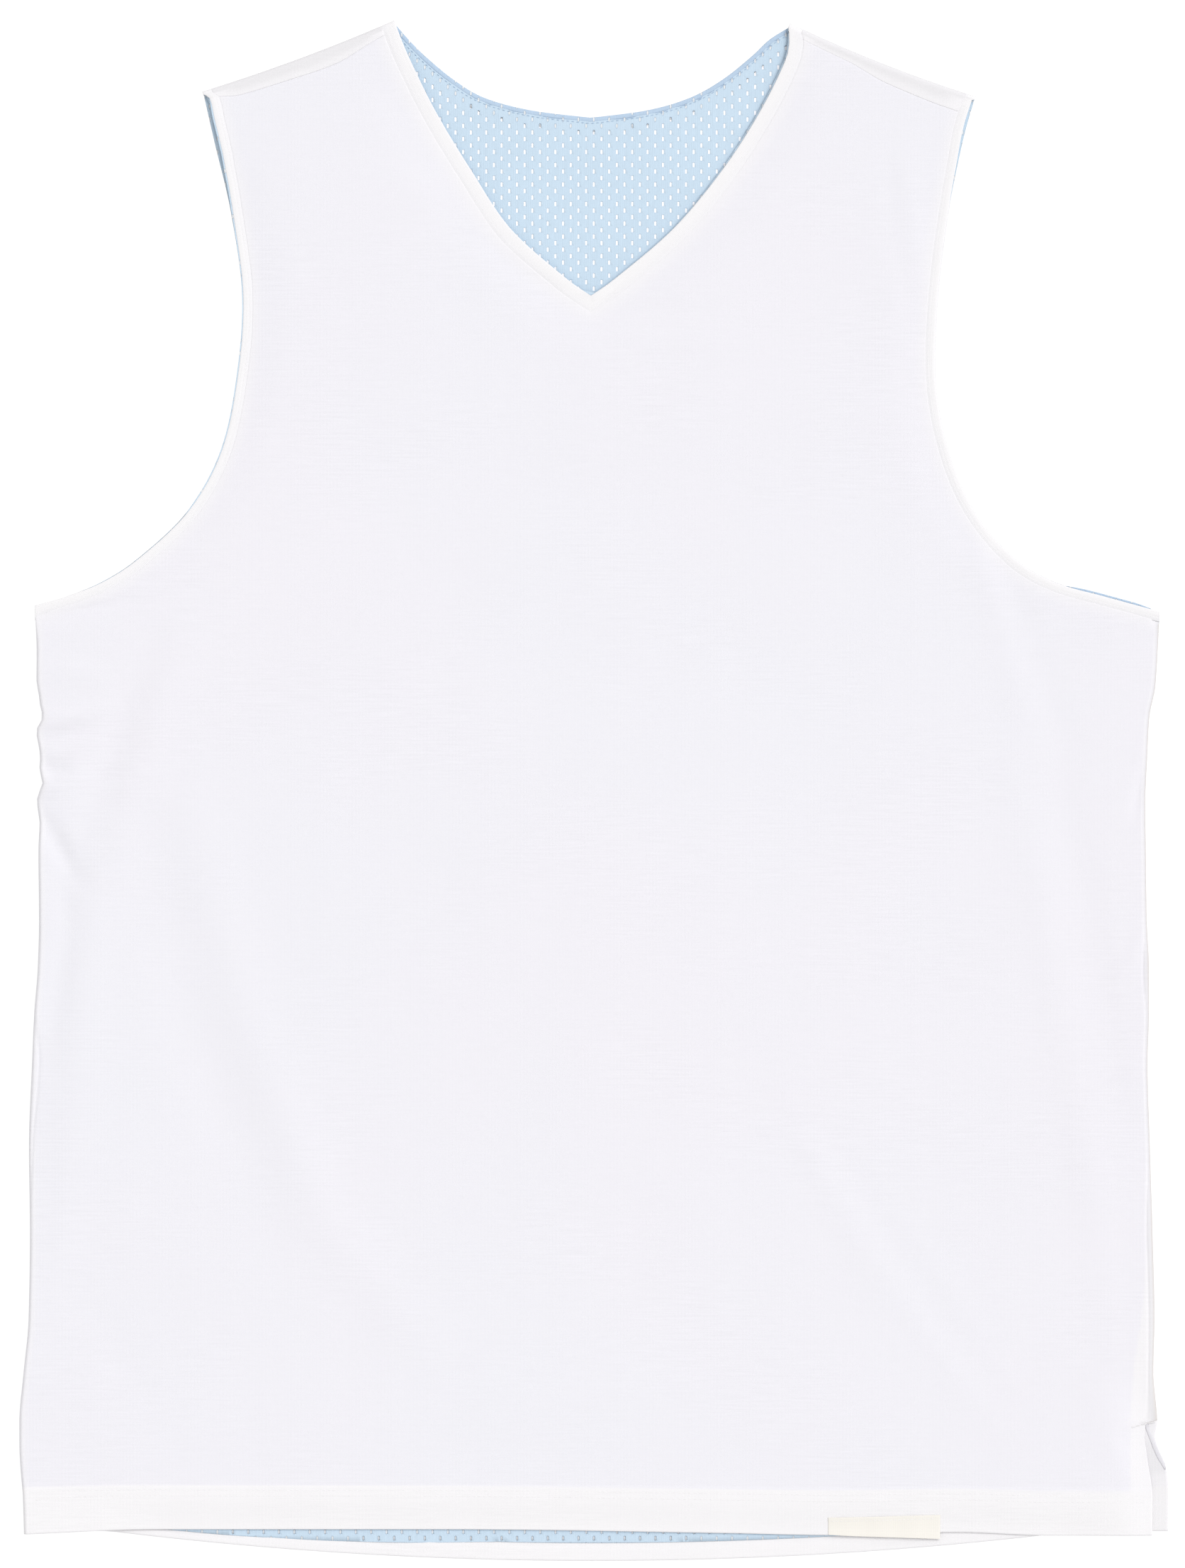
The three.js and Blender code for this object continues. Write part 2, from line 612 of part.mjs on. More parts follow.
const jersey = new THREE.Group();
jersey.name = 'basketball_jersey';
jersey.add(
  clothMesh('back_body', backBody(), COLOURS.jersey),
  clothMesh('back_lining', lining('back', LAYERS.backLining, backLiningHem), COLOURS.mesh),
  clothMesh('front_lining', lining('front', LAYERS.frontLining, () => FRONT_LINING_HEM), COLOURS.mesh),
  clothMesh('front_body', frontBody(), COLOURS.jersey),
  clothMesh('neck_band', neckBand(), COLOURS.band),
  clothMesh('left_armhole_band', armholeBand('left'), COLOURS.band),
  clothMesh('right_armhole_band', armholeBand('right'), COLOURS.band),
  clothMesh('hem_label', hemLabel(), COLOURS.label, ROUGHNESS.woven),
);

export default jersey;
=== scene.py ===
import logging
import math
from bisect import bisect_right
from collections.abc import Callable, Iterable, Sequence
from dataclasses import dataclass, field
from enum import Enum
from itertools import accumulate

import bmesh
import bpy
from bmesh.types import BMesh, BMVert
from bpy.types import ID, Material, Node, NodeSocket, NodeTree, Object
from mathutils import Matrix, Vector
from mathutils.kdtree import KDTree


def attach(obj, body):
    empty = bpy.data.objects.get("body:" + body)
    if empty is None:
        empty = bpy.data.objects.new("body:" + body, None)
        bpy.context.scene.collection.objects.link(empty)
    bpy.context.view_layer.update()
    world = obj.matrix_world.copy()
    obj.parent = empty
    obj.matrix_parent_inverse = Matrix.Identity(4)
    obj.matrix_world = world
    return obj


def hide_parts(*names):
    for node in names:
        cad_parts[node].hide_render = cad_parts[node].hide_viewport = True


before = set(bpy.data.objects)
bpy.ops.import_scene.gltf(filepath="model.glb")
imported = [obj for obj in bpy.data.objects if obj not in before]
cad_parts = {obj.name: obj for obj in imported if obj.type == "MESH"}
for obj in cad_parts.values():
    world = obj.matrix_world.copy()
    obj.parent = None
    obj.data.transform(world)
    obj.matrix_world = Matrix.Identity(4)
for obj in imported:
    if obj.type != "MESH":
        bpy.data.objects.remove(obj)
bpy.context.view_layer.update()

log = logging.getLogger("jersey")

# A sleeveless reversible jersey laid flat, front side up. Plan sizes and heights are in millimetres, as
# in the part's source: x from the middle of the outline, "down" below the high neck point, and z above
# the floor. They become metres where points are put in place.

MM = 0.001
BODY_LENGTH = 800.0
CENTRE_X = -1.5
NECK_BAND = 7.4
ARMHOLE_BAND = 5.0
HEM_LINE = 761.0
FRONT_HEM = 785.0
BACK_HEM = 784.5
HEM_RAISE = 0.3
FRONT_LINING_END = 778.0
STACK = 4.9
FOLD_RADIUS = STACK / 2
FLOOR_Z = -0.25

# A face with this many corners or more closes the end of a band and stays flat
END_CORNERS = 12

# How much brighter the studio's lamps make a cloth than its own colour
EXPOSURE = 1.2


class Side(Enum):
    """The side of the garment, as the photograph shows it."""

    LEFT = -1
    RIGHT = 1


class Panel(Enum):
    """The two panels of the body."""

    FRONT = "front"
    BACK = "back"


LEFT, RIGHT = Side
FRONT, BACK = Panel

# Edges of the neck and the armholes: distance down, x at the left and x at the right
FRONT_NECK = ((12, -99.2, 101.4), (23, -94.4, 98.5), (49, -81.2, 85.3), (78, -63.6, 66.5),
              (108, -43.4, 41.5), (133, -15.6, 12.4))
FRONT_NECK_LOW = 143
BACK_NECK = ((10, -96, 91), (18.5, -87.5, 82), (30.5, -73, 67), (40, -57, 50), (46.5, -33, 28))
BACK_NECK_LOW = 50.4
ARMHOLE = ((63.6, -197, 191.5), (100, -188.5, 184.4), (144, -182.7, 179), (188, -186, 177.9),
           (225, -194.4, 185), (255, -211.3, 198.1), (279, -236.5, 218.5), (291.4, -255.4, 239.6),
           (299, -274, 265.5), (307, -290, 293.6))
ARMPIT = 307.0
ARM_LOW = {LEFT: 303.8, RIGHT: 307.0}

# Side edges: distance down and x
LEFT_SIDE = ((307, -290), (326, -289.4), (343, -289.5), (350, -288.3), (357, -287.5), (361.7, -286.1),
             (364, -287.3), (366.8, -289), (370.3, -289.6), (373, -289), (378, -288.2), (382.2, -287.6),
             (388, -288), (392, -287.3), (394.9, -286.2), (397.6, -286.9), (401.2, -288.3), (404, -289.2),
             (409.7, -288.9), (416, -287.9), (431, -288.5), (468, -288.2), (491, -288.8), (516, -290.7),
             (541, -291.8), (585, -293.4), (630, -292.9), (674, -293.6), (702, -296.2), (728, -298.4),
             (740, -298.4), (753, -297.7), (766, -296.6), (785, -296))
RIGHT_SIDE = ((307, 293.6), (326, 292.9), (346, 291.6), (361, 288.6), (369, 288), (383, 287.4),
              (395, 286.8), (404, 286.4), (431, 286.7), (468, 287.2), (491, 288.3), (516, 288.3),
              (541, 287.6), (585, 288.8), (630, 290.2), (674, 291.2), (702, 290.6), (728, 292.6),
              (735, 291.4), (744, 293.9), (753, 297.4), (758, 298.1), (766, 298.4), (785, 298.2))

# Distance down, and how far in from the side edge the seam shows
SEAM_IN = {
    LEFT: ((491, 0), (516, 0.6), (541, 4), (585, 2), (630, 0)),
    RIGHT: ((431, 0), (468, 0.5), (491, 3.3), (516, 1.8), (541, 1.5), (585, 1.2), (630, 3.3),
                 (674, 3.3), (702, 2.8), (728, 5.6)),
}

# The vent: distance down and how far the front's edge stands in, and x of its facing's inner edge
VENT_GAP = ((727.6, 0), (729, 6.2), (732, 5.4), (740, 5.9), (744, 6.8), (754, 9), (764, 8.3), (785, 8.2))
VENT_TOP = 727.6
FACING_LINE = ((600, 286), (640, 286.4), (660, 285.6), (674, 284.1), (688, 281.9), (701, 280.1),
               (715, 279.2), (726, 278.6), (785, 278.4))

# Distance down, and how far in the front's armhole edge is set
ARMHOLE_IN = {
    LEFT: ((39, 0.8), (42, 2.5), (49, 3.6), (56, 3.3), (63.6, 3.2), (71, 2.9), (78, 2.2), (86, 1.8),
                (100, 1.1), (125, 0.7), (290, 0.5), (303.8, 0)),
    RIGHT: ((39, 1.2), (53, 1.5), (64, 1.2), (75, 0.8), (110, 0.5), (290, 0.5), (307, 0)),
}

# Distance along the shoulder from the neck, and how far the shoulder seam bends into the body
SEAM_BEND = {
    LEFT: ((0, -2.4), (9.6, -1.9), (37.4, 1.7), (63.4, 0.3), (89, -1.3), (100, -4.2), (106, -5)),
    RIGHT: ((0, 0), (12, -0.3), (34, -0.5), (58, 1.7), (83.5, 1.7), (95, 1.3), (104, 1)),
}

# X, and how far down the front's lower edge waves; x, and how far the back lining ends above the hem
HEM_WAVE = ((-296, 1), (-230, -1.5), (-80, -1.5), (70, 0.5), (122, 1.5), (190, 0), (236, 1.7), (290, 1.7))
LINING_RISE = ((-290, 4.2), (-205, 4.4), (-95, 6.6), (-45, 8.2), (290, 8.2))

# How far the linings lie inside the edges of the neck and the armholes, at distances down
EVEN_INSET = ((0, 0.1), (200, 0.1))
LINING_NECK_IN = {
    (FRONT, LEFT): ((0, 0.6), (200, 0.6)),
    (FRONT, RIGHT): ((4, -0.2), (12, -0.7), (60, -0.7), (100, -0.35), (143, -0.2)),
}
LINING_ARM_IN = {
    (FRONT, LEFT): ((40, 0.1), (46, -0.9), (80, -1.0), (110, -0.5), (150, 0.0)),
    (BACK, RIGHT): ((80, 0.1), (110, 0.7), (150, 1.0), (286, 1.0), (293, 0.3)),
}


def plan(x: float, down: float) -> Vector:
    """Point of the plan, whose second coordinate runs up."""
    return Vector((x, -down))


def in_place(point: Vector, z: float) -> Vector:
    """Point of the scene, in metres, over a point of the plan at a height in millimetres."""
    return Vector((point.x, point.y + BODY_LENGTH / 2, z)) * MM


def ease(value: float, low: float, high: float) -> float:
    """Smooth step of a value from 0 at low to 1 at high."""
    share = min(max((value - low) / (high - low), 0.0), 1.0)
    return share * share * (3 - 2 * share)


def left_hand(direction: Vector) -> Vector:
    """Direction of the plan turned a quarter to the left."""
    return Vector((-direction.y, direction.x))


def running(steps: Iterable[float]) -> list[float]:
    """Running total of steps, from 0."""
    return list(accumulate(steps, initial=0.0))


def tree_of(spots: Sequence[Vector]) -> KDTree:
    """Finder of the nearest of some points of the plan."""
    tree = KDTree(len(spots))
    for index, spot in enumerate(spots):
        tree.insert((spot.x, spot.y, 0), index)
    tree.balance()
    return tree


def draw_in(edge: float, cloth: float) -> float:
    """How much a face draws in at a distance from a free edge, so that the edge is round."""
    radius = cloth / 2
    if edge >= radius:
        return 0.0
    return (radius - 0.05) * (1 - math.sqrt(max(0.0, 1 - (1 - edge / radius) ** 2)))


class Profile:
    """Values at rising keys, joined by a smooth line that doesn't overshoot them."""

    def __init__(self, rows: Sequence[tuple[float, float]]) -> None:
        """Keeps the rows and works out the slope at each."""
        self.keys = [row[0] for row in rows]
        self.values = [row[1] for row in rows]
        steps = [(b[1] - a[1]) / (b[0] - a[0]) for a, b in zip(rows, rows[1:])]
        inner = [0.0 if a * b <= 0 else 2 * a * b / (a + b) for a, b in zip(steps, steps[1:])]
        self.slopes = [steps[0], *inner, steps[-1]]

    def __call__(self, at: float) -> float:
        """Value at a key; beyond the ends it stays the same."""
        if at <= self.keys[0]:
            return self.values[0]
        if at >= self.keys[-1]:
            return self.values[-1]
        low = bisect_right(self.keys, at) - 1
        span = self.keys[low + 1] - self.keys[low]
        t = (at - self.keys[low]) / span
        a, b = self.values[low], self.values[low + 1]
        rise = (self.slopes[low] * (1 - t) - self.slopes[low + 1] * t) * span * t * (1 - t)
        return a + (b - a) * t * t * (3 - 2 * t) + rise


class Curve:
    """A smooth curve through points of the plan, measured along its length."""

    STEPS = 30

    def __init__(self, points: Sequence[Vector]) -> None:
        """Samples the curve as the part's source does."""
        self.track = [points[0].copy()]
        last = len(points) - 1
        for index in range(last):
            before, start = points[max(index - 1, 0)], points[index]
            end, after = points[index + 1], points[min(index + 2, last)]
            for step in range(1, self.STEPS + 1):
                t = step / self.STEPS
                v0, v1 = (end - before) / 2, (after - start) / 2
                cubic = (start - end) * 2 + v0 + v1
                square = (end - start) * 3 - v0 * 2 - v1
                self.track.append(cubic * t ** 3 + square * t ** 2 + v0 * t + start)
        self.lengths = running((b - a).length for a, b in zip(self.track, self.track[1:]))

    @property
    def length(self) -> float:
        """Whole length of the curve."""
        return self.lengths[-1]

    def set_in(self, hand: int, inset: Profile) -> None:
        """Moves the curve to one side by an amount that depends on how far down each point is."""
        ways = [(b - a).normalized() for a, b in zip(self.track, self.track[1:])]
        ways.append(ways[-1])
        self.track = [spot + left_hand(way) * hand * inset(-spot.y) for spot, way in zip(self.track, ways)]
        self.lengths = running((b - a).length for a, b in zip(self.track, self.track[1:]))

    def at(self, length: float) -> tuple[Vector, Vector]:
        """Point and direction at a length along the curve."""
        index = min(max(bisect_right(self.lengths, length) - 1, 0), len(self.track) - 2)
        a, b = self.track[index], self.track[index + 1]
        share = (length - self.lengths[index]) / (self.lengths[index + 1] - self.lengths[index])
        return a.lerp(b, min(max(share, 0.0), 1.0)), (b - a).normalized()


@dataclass(frozen=True)
class Station:
    """A point of a cut edge and the way from it into the cloth."""

    point: Vector
    into: Vector
    reach: float = 1.0

    def inside(self, distance: float) -> Vector:
        """Point at a distance into the cloth."""
        return self.point + self.into * (distance * self.reach)


@dataclass(frozen=True)
class Shoulder:
    """A shoulder fold, from the neck point to the tip, and how far the back wraps over it."""

    side: Side
    neck: Vector
    tip: Vector
    sag: float
    wrap_neck: float
    wrap_tip: float

    @property
    def along(self) -> Vector:
        """Direction of the fold, away from the neck."""
        return (self.tip - self.neck).normalized()

    @property
    def inward(self) -> Vector:
        """Direction from the fold into the body."""
        return left_hand(self.along) * -self.side.value

    def bow(self, point: Vector) -> Vector:
        """How far a point near the fold moves, because the fold and the seam beside it are bent."""
        away = point - self.neck
        share = min(max(away.dot(self.along) / (self.tip - self.neck).length, 0.0), 1.0)
        far = away.dot(self.inward)
        return self.inward * (self.sag * 4 * share * (1 - share) * (1 - ease(far, 12, 60)))

    def round_place(self, centre: Vector, radius: float, turn: float) -> Vector:
        """Place round the fold, at a radius, and a turn that runs from 0 at its top to 1 at its bottom."""
        angle = math.pi * (0.5 - turn)
        spot = centre - self.inward * (radius * math.cos(angle))
        return in_place(spot, FOLD_RADIUS + radius * math.sin(angle))


@dataclass(frozen=True)
class Crease:
    """A soft ridge or trough along a bent line of the plan, given as x and down."""

    line: tuple[tuple[float, float], ...]
    width: float
    rise: float

    def height(self, x: float, down: float) -> float:
        """Height that the crease adds at a point of the plan."""
        reach = self.width * 2.2
        xs = [spot[0] for spot in self.line]
        downs = [spot[1] for spot in self.line]
        if not (min(xs) - reach < x < max(xs) + reach and min(downs) - reach < down < max(downs) + reach):
            return 0.0
        nearest, share, count = reach, 0.0, len(self.line) - 1
        for index in range(count):
            (ax, ay), (bx, by) = self.line[index], self.line[index + 1]
            dx, dy = bx - ax, by - ay
            t = min(max(((x - ax) * dx + (down - ay) * dy) / (dx * dx + dy * dy), 0.0), 1.0)
            away = math.hypot(x - ax - dx * t, down - ay - dy * t)
            if away < nearest:
                nearest, share = away, (index + t) / count
        fall = math.exp(-(nearest / self.width) ** 2 * 1.6)
        return self.rise * fall * math.sin(math.pi * (0.12 + 0.76 * share))


# Creases of the front, then those of the hidden back: line, width and rise
FRONT_CREASES = (
    (((10, 180), (10, 700)), 230, 1.2), (((-228, 322), (-248, 374), (-262, 420)), 9, -1.15),
    (((-214, 318), (-232, 374), (-250, 440)), 13, 0.9),
    (((-291, 365.5), (-276, 363.5), (-258, 359)), 4.2, 1.7),
    (((-290, 373), (-272, 369.5), (-256, 363)), 3.6, -1.2),
    (((-290, 385), (-280, 389), (-272, 387)), 4, -1.7),
    (((-291, 401), (-279, 398), (-268, 391)), 4.6, 1.5),
    (((-288, 411), (-277, 430), (-264, 452)), 5.5, -1.2),
    (((-289, 311.6), (-262, 305.5), (-240, 300)), 3.4, -0.8),
    (((-286, 342), (-270, 338), (-256, 340)), 6, 0.75), (((-280, 420), (-272, 470), (-284, 540)), 9, -0.9),
    (((-262, 452), (-266, 540), (-276, 640)), 13, 0.85),
    (((-210, 410), (-180, 519), (-141, 622), (-86, 690)), 16, 0.95),
    (((-232, 420), (-206, 530), (-166, 640)), 19, -0.85), (((196, 262), (214, 330), (236, 392)), 7, 0.55),
    (((206, 258), (226, 322), (250, 384)), 7, -0.5),
    (((218, 380), (236, 484), (256, 590), (266, 670)), 9, 0.7),
    (((234, 360), (256, 460), (274, 570)), 9, -0.65), (((287, 386), (280, 412)), 4, -0.8),
    (((286, 470), (279, 486), (270, 492)), 4, 0.6), (((287, 538), (276, 545), (266, 546)), 4, 0.7),
    (((98, 552), (128, 620), (162, 690)), 6, 0.36), (((110, 580), (160, 664), (208, 732)), 5.5, 0.48),
    (((120, 578), (172, 660), (218, 728)), 5.5, -0.42), (((160, 604), (190, 648), (226, 704)), 5.5, -0.3),
    (((150, 60), (155, 100), (162, 150)), 6, -0.2), (((160, 62), (166, 104), (172, 150)), 6, 0.22),
    (((-120, 66), (-86, 74), (-60, 72)), 9, -0.3), (((-140, 52), (-108, 56)), 12, 0.35),
    (((-62, 112), (-36, 132), (-14, 146)), 6, -0.3), (((6, 152), (30, 152), (62, 152)), 6, -0.22),
    (((8, 162), (34, 166), (70, 168)), 7, 0.22), (((-268, 660), (-240, 700), (-230, 735)), 12, -0.35),
    (((60, 690), (20, 712), (-40, 726)), 14, 0.3), (((18, 600), (22, 640), (18, 690)), 6, -0.25),
    (((-60, 330), (40, 342), (150, 330)), 30, -0.35), (((-100, 230), (0, 246), (110, 236)), 26, -0.35),
)
BACK_CREASES = (
    (((-180, 120), (-60, 150), (60, 146), (170, 118)), 14, 0.5),
    (((-284, 372), (-250, 366), (-220, 350)), 6, 0.5), (((-284, 398), (-254, 398), (-230, 412)), 6, 0.5),
    (((-226, 322), (-246, 380), (-252, 460)), 12, 0.5), (((214, 300), (232, 380), (246, 470)), 12, 0.5),
    (((282, 404), (256, 412)), 5, 0.45), (((-170, 440), (-140, 540), (-90, 650)), 16, 0.55),
    (((190, 560), (140, 640), (100, 720)), 13, 0.5), (((40, 280), (30, 420), (46, 560)), 18, 0.5),
    (((-40, 640), (-60, 700), (-50, 745)), 10, 0.45),
)


class Pattern:
    """The garment's flat pattern: its edges and the heights of its layers."""

    CREASES = {FRONT: [Crease(*row) for row in FRONT_CREASES],
               BACK: [Crease(*row) for row in BACK_CREASES]}

    LAP = 1.2
    CLOTH = 0.7
    HEM_CLOTH = 1.5
    SIDE_DROP = 3.35
    EDGE_ROUND = {LEFT: 1.8, RIGHT: 2.4}
    GROOVE_DEPTH = 0.45
    GROOVE_WIDTH = 0.5
    NECK_SAG = 1.2
    ARM_SAG = 0.8
    HEM_SAG = 1.8
    HEM_DROP = 15.5
    HEM_DROP_REACH = 252
    BACK_LIFT = 0.55
    NECK_STEPS = 34
    BELOW_STEPS = 46

    def __init__(self) -> None:
        """Works out the shoulder folds, the edges and the places to measure from."""
        self.shoulders = {
            LEFT: Shoulder(LEFT, plan(-103.6, 0), plan(-203.4, 37), 1.5, 7, 9.5),
            RIGHT: Shoulder(RIGHT, plan(101.8, 1.5), plan(198.4, 39.6), 1.8, 5.5, 9.2),
        }
        self.sides = {LEFT: Profile(LEFT_SIDE), RIGHT: Profile(RIGHT_SIDE)}
        self.seam_in = {side: Profile(rows) for side, rows in SEAM_IN.items()}
        self.vent_gap = Profile(VENT_GAP)
        self.facing_line = Profile(FACING_LINE)
        self.seam_bends = {side: Profile(rows) for side, rows in SEAM_BEND.items()}
        self.hem_wave = Profile(HEM_WAVE)
        self.lining_rise = Profile(LINING_RISE)
        self.vee = {}
        for column, side in enumerate(Side, 1):
            rows = [(row[0], row[column]) for row in FRONT_NECK]
            self.vee[side] = Profile([*rows, (FRONT_NECK_LOW, CENTRE_X)])
        self.neck = {}
        self.armhole = {}
        self.curves = {}
        self.trees = {}
        for panel in Panel:
            for side in Side:
                self.trace_edges(panel, side)
            kinds = zip(*(self.curves[panel, side] for side in Side))
            self.trees[panel] = [tree_of([*left.track, *right.track]) for left, right in kinds]
            lows = [self.neck[panel, side][-1] for side in Side]
            reach = sum(low.reach for low in lows) / 2
            for side in Side:
                self.neck[panel, side][-1] = Station(lows[0].point, lows[0].into, reach)

    @property
    def back_neck(self) -> list[Station]:
        """Stations of the whole back neck, from the left shoulder to the right one."""
        left, right = (self.neck[BACK, side] for side in Side)
        return [*left, *reversed(right[:-1])]

    def side_of(self, point: Vector) -> Side:
        """The side of the garment that a point is on."""
        return LEFT if point.x < CENTRE_X else RIGHT

    def side_edge(self, panel: Panel, side: Side, down: float) -> float:
        """X of a side edge at a distance down."""
        edge = self.sides[side](down)
        if panel is BACK or side is LEFT:
            return edge
        return edge - self.vent_gap(down)

    def hem_down(self, panel: Panel, x: float) -> float:
        """Distance down of the lower edge of a panel."""
        base = FRONT_HEM if panel is FRONT else BACK_HEM
        return base + self.hem_shift(panel, plan(x, base))

    def hem_shift(self, panel: Panel, point: Vector) -> float:
        """How far a point moves down for the curve of the lower edge."""
        share = ease(-point.y, 735, 785)
        if panel is FRONT:
            return share * self.hem_wave(point.x)
        return share * self.HEM_DROP * max(0.0, 1 - (point.x / self.HEM_DROP_REACH) ** 2)

    def settle(self, panel: Panel, point: Vector) -> Vector:
        """A point moved to where the bent shoulder and the curved hem put it."""
        side = self.side_of(point)
        fold = self.shoulders[side]
        moved = point + fold.bow(point)
        if panel is FRONT and -point.y < 100:
            away = point - fold.neck
            far = away.dot(fold.inward)
            fade = ease(far, 2.5, 8) * (1 - ease(far, 12, 44))
            moved += fold.inward * (self.seam_bends[side](away.dot(fold.along)) * fade)
        moved.y -= self.hem_shift(panel, point)
        return moved

    def trace_edges(self, panel: Panel, side: Side) -> None:
        """Sets the stations of the neck and armhole edges of one side of a panel.

        Args:
            panel: the front or the back.
            side: the left or the right.
        """
        fold = self.shoulders[side]
        sign = side.value
        column = 1 if side is LEFT else 2
        front = panel is FRONT
        table, low = (FRONT_NECK, FRONT_NECK_LOW) if front else (BACK_NECK, BACK_NECK_LOW)
        neck_points = [fold.neck + fold.inward * FOLD_RADIUS, *(plan(row[column], row[0]) for row in table),
                       plan(CENTRE_X, low)]
        arm_points = [fold.tip + fold.inward * FOLD_RADIUS]
        arm_points += [plan(row[column], min(row[0], ARM_LOW[side])) for row in ARMHOLE]
        neck, arm = Curve(neck_points), Curve(arm_points)
        if front:
            arm.set_in(-sign, Profile(ARMHOLE_IN[side]))
        self.curves[panel, side] = (neck, arm)
        count = self.NECK_STEPS
        share = 0.37 if front else 0.2
        starts = (fold.wrap_neck - FOLD_RADIUS, fold.wrap_tip - FOLD_RADIUS) if front else (0, 0)
        neck_at = [0.0, *self.spread(starts[0], neck.length, count)]
        arm_at = [0.0, *self.spread(starts[1], arm.length * share, count),
                  *self.spread(arm.length * share, arm.length, self.BELOW_STEPS)[1:]]
        if not front:
            neck_at, arm_at = neck_at[1:], arm_at[1:]
        next_to_low = (neck_points[-2] - neck_points[-1]).normalized()
        mitre = 1 / abs(next_to_low.x) if front else 1.0
        on_shoulder = 2 if front else 1
        self.neck[panel, side] = self.stations(neck, neck_at, sign, on_shoulder, fold.along, mitre)
        flare = 1.4 if side is LEFT else 1.0
        self.armhole[panel, side] = self.stations(arm, arm_at, -sign, on_shoulder, -fold.along, flare)

    def spread(self, start: float, end: float, count: int) -> list[float]:
        """Even steps from a start to an end, both included."""
        return [start + (end - start) * step / count for step in range(count + 1)]

    def stations(self, curve: Curve, lengths: Sequence[float], hand: int, on_shoulder: int,
                 first: Vector, mitre: float) -> list[Station]:
        """Stations down a cut edge.

        Args:
            curve: the edge.
            lengths: where the stations are along it.
            hand: 1 where the cloth is at the left of the edge, or -1.
            on_shoulder: how many stations lie on the shoulder, where the way in is along the fold.
            first: the way in on the shoulder.
            mitre: reach of the last station.

        Returns:
            The stations, from the shoulder down.
        """
        made = []
        for index, length in enumerate(lengths):
            point, way = curve.at(length)
            if index < on_shoulder:
                made.append(Station(point, first))
            elif index == len(lengths) - 1:
                made.append(Station(point, Vector((0, -1)), mitre))
            else:
                made.append(Station(point, left_hand(way) * hand))
        return made

    def gaps(self, panel: Panel, point: Vector) -> tuple[float, float]:
        """Distances of a point beyond the seams of a panel's nearest neck band and armhole band."""
        spot = (point.x, point.y, 0)
        neck, arm = self.trees[panel]
        return neck.find(spot)[2] - NECK_BAND, arm.find(spot)[2] - ARMHOLE_BAND

    def side_gap(self, panel: Panel, point: Vector) -> float:
        """Distance of a point from the side edge of its side, measured from below the arm."""
        side = self.side_of(point)
        down = -point.y
        beside = abs(self.side_edge(panel, side, max(down, ARMPIT)) - point.x)
        return math.hypot(beside, max(0.0, ARMPIT + 6 - down))

    def swell(self, point: Vector) -> float:
        """Height that folds and swells give the front."""
        down = -point.y
        height = sum(crease.height(point.x, down) for crease in self.CREASES[FRONT])
        fade = ease(down, 40, 90) * (1 - ease(down, 712, 752))
        return height * fade

    def sag(self, point: Vector) -> float:
        """How much lower the front lies near its free edges, where it rests on the back."""
        down = -point.y
        neck_gap, arm_gap = self.gaps(FRONT, point)
        neck = (1 - ease(neck_gap, -4, 26)) * ease(down, 16, 60)
        arm = (1 - ease(arm_gap, -3, 20)) * ease(down, 52, 100) * (1 - ease(down, 270, 300))
        hem = ease(down, 767, 784) * ease(point.x, -262, -225) * (1 - ease(point.x, 248, 282))
        return max(self.NECK_SAG * neck, self.ARM_SAG * arm, self.HEM_SAG * hem)

    def front_top(self, point: Vector) -> float:
        """Height of the outer face of the front."""
        gap = self.side_gap(FRONT, point)
        side = self.side_of(point)
        down = -point.y
        vent = ease(down, VENT_TOP, VENT_TOP + 1.4) if side is RIGHT else 0.0
        round_off = 1 - math.sqrt(max(0.0, 1 - max(0.0, 1 - gap / self.EDGE_ROUND[side]) ** 2))
        drop = self.SIDE_DROP * round_off * (1 - vent) * ease(down, ARMPIT + 2, ARMPIT + 22)
        if side is RIGHT:
            slope = (2.3 - 0.7 * ease(down, 750, 761)) * ease(down, 684, 727)
            slope *= 1 - ease(self.sides[side](down) - point.x, 4, 26)
            drop += slope * (1 - drop / self.SIDE_DROP)
        seam = self.seam_in[side](down)
        if seam > 0.3 and down < VENT_TOP:
            groove = math.exp(-((gap - seam) / self.GROOVE_WIDTH) ** 2)
            drop += self.GROOVE_DEPTH * ease(seam, 0.3, 1.4) * groove
        calm = ease(gap, 0, 4) * 0.6 + 0.4
        return STACK + self.swell(point) * calm - drop - self.sag(point)

    def back_lift(self, point: Vector) -> float:
        """Height of the outer face of the back above the floor, low where the garment rests."""
        down = -point.y
        gap = self.gaps(BACK, point)[0]
        beside = abs(point.x - CENTRE_X)
        opening = ease(gap, -1.5, 2.5) * (1 - ease(beside, 96, 124)) * (1 - ease(down, 150, 175))
        height = sum(crease.height(point.x, down) for crease in self.CREASES[BACK])
        fade = ease(self.side_gap(BACK, point), 2, 12) * (1 - ease(down, 735, 752))
        return max(self.BACK_LIFT * opening, min(height, self.BACK_LIFT) * fade)


PATTERN = Pattern()


@dataclass(frozen=True)
class Cell:
    """A point of cloth: its places on the two faces, how white it looks, and the painted shading on it:
    painted shade above zero, painted light below zero.
    """

    outer: Vector
    inner: Vector
    white: float = 1.0
    painted_shading: float = 0.0


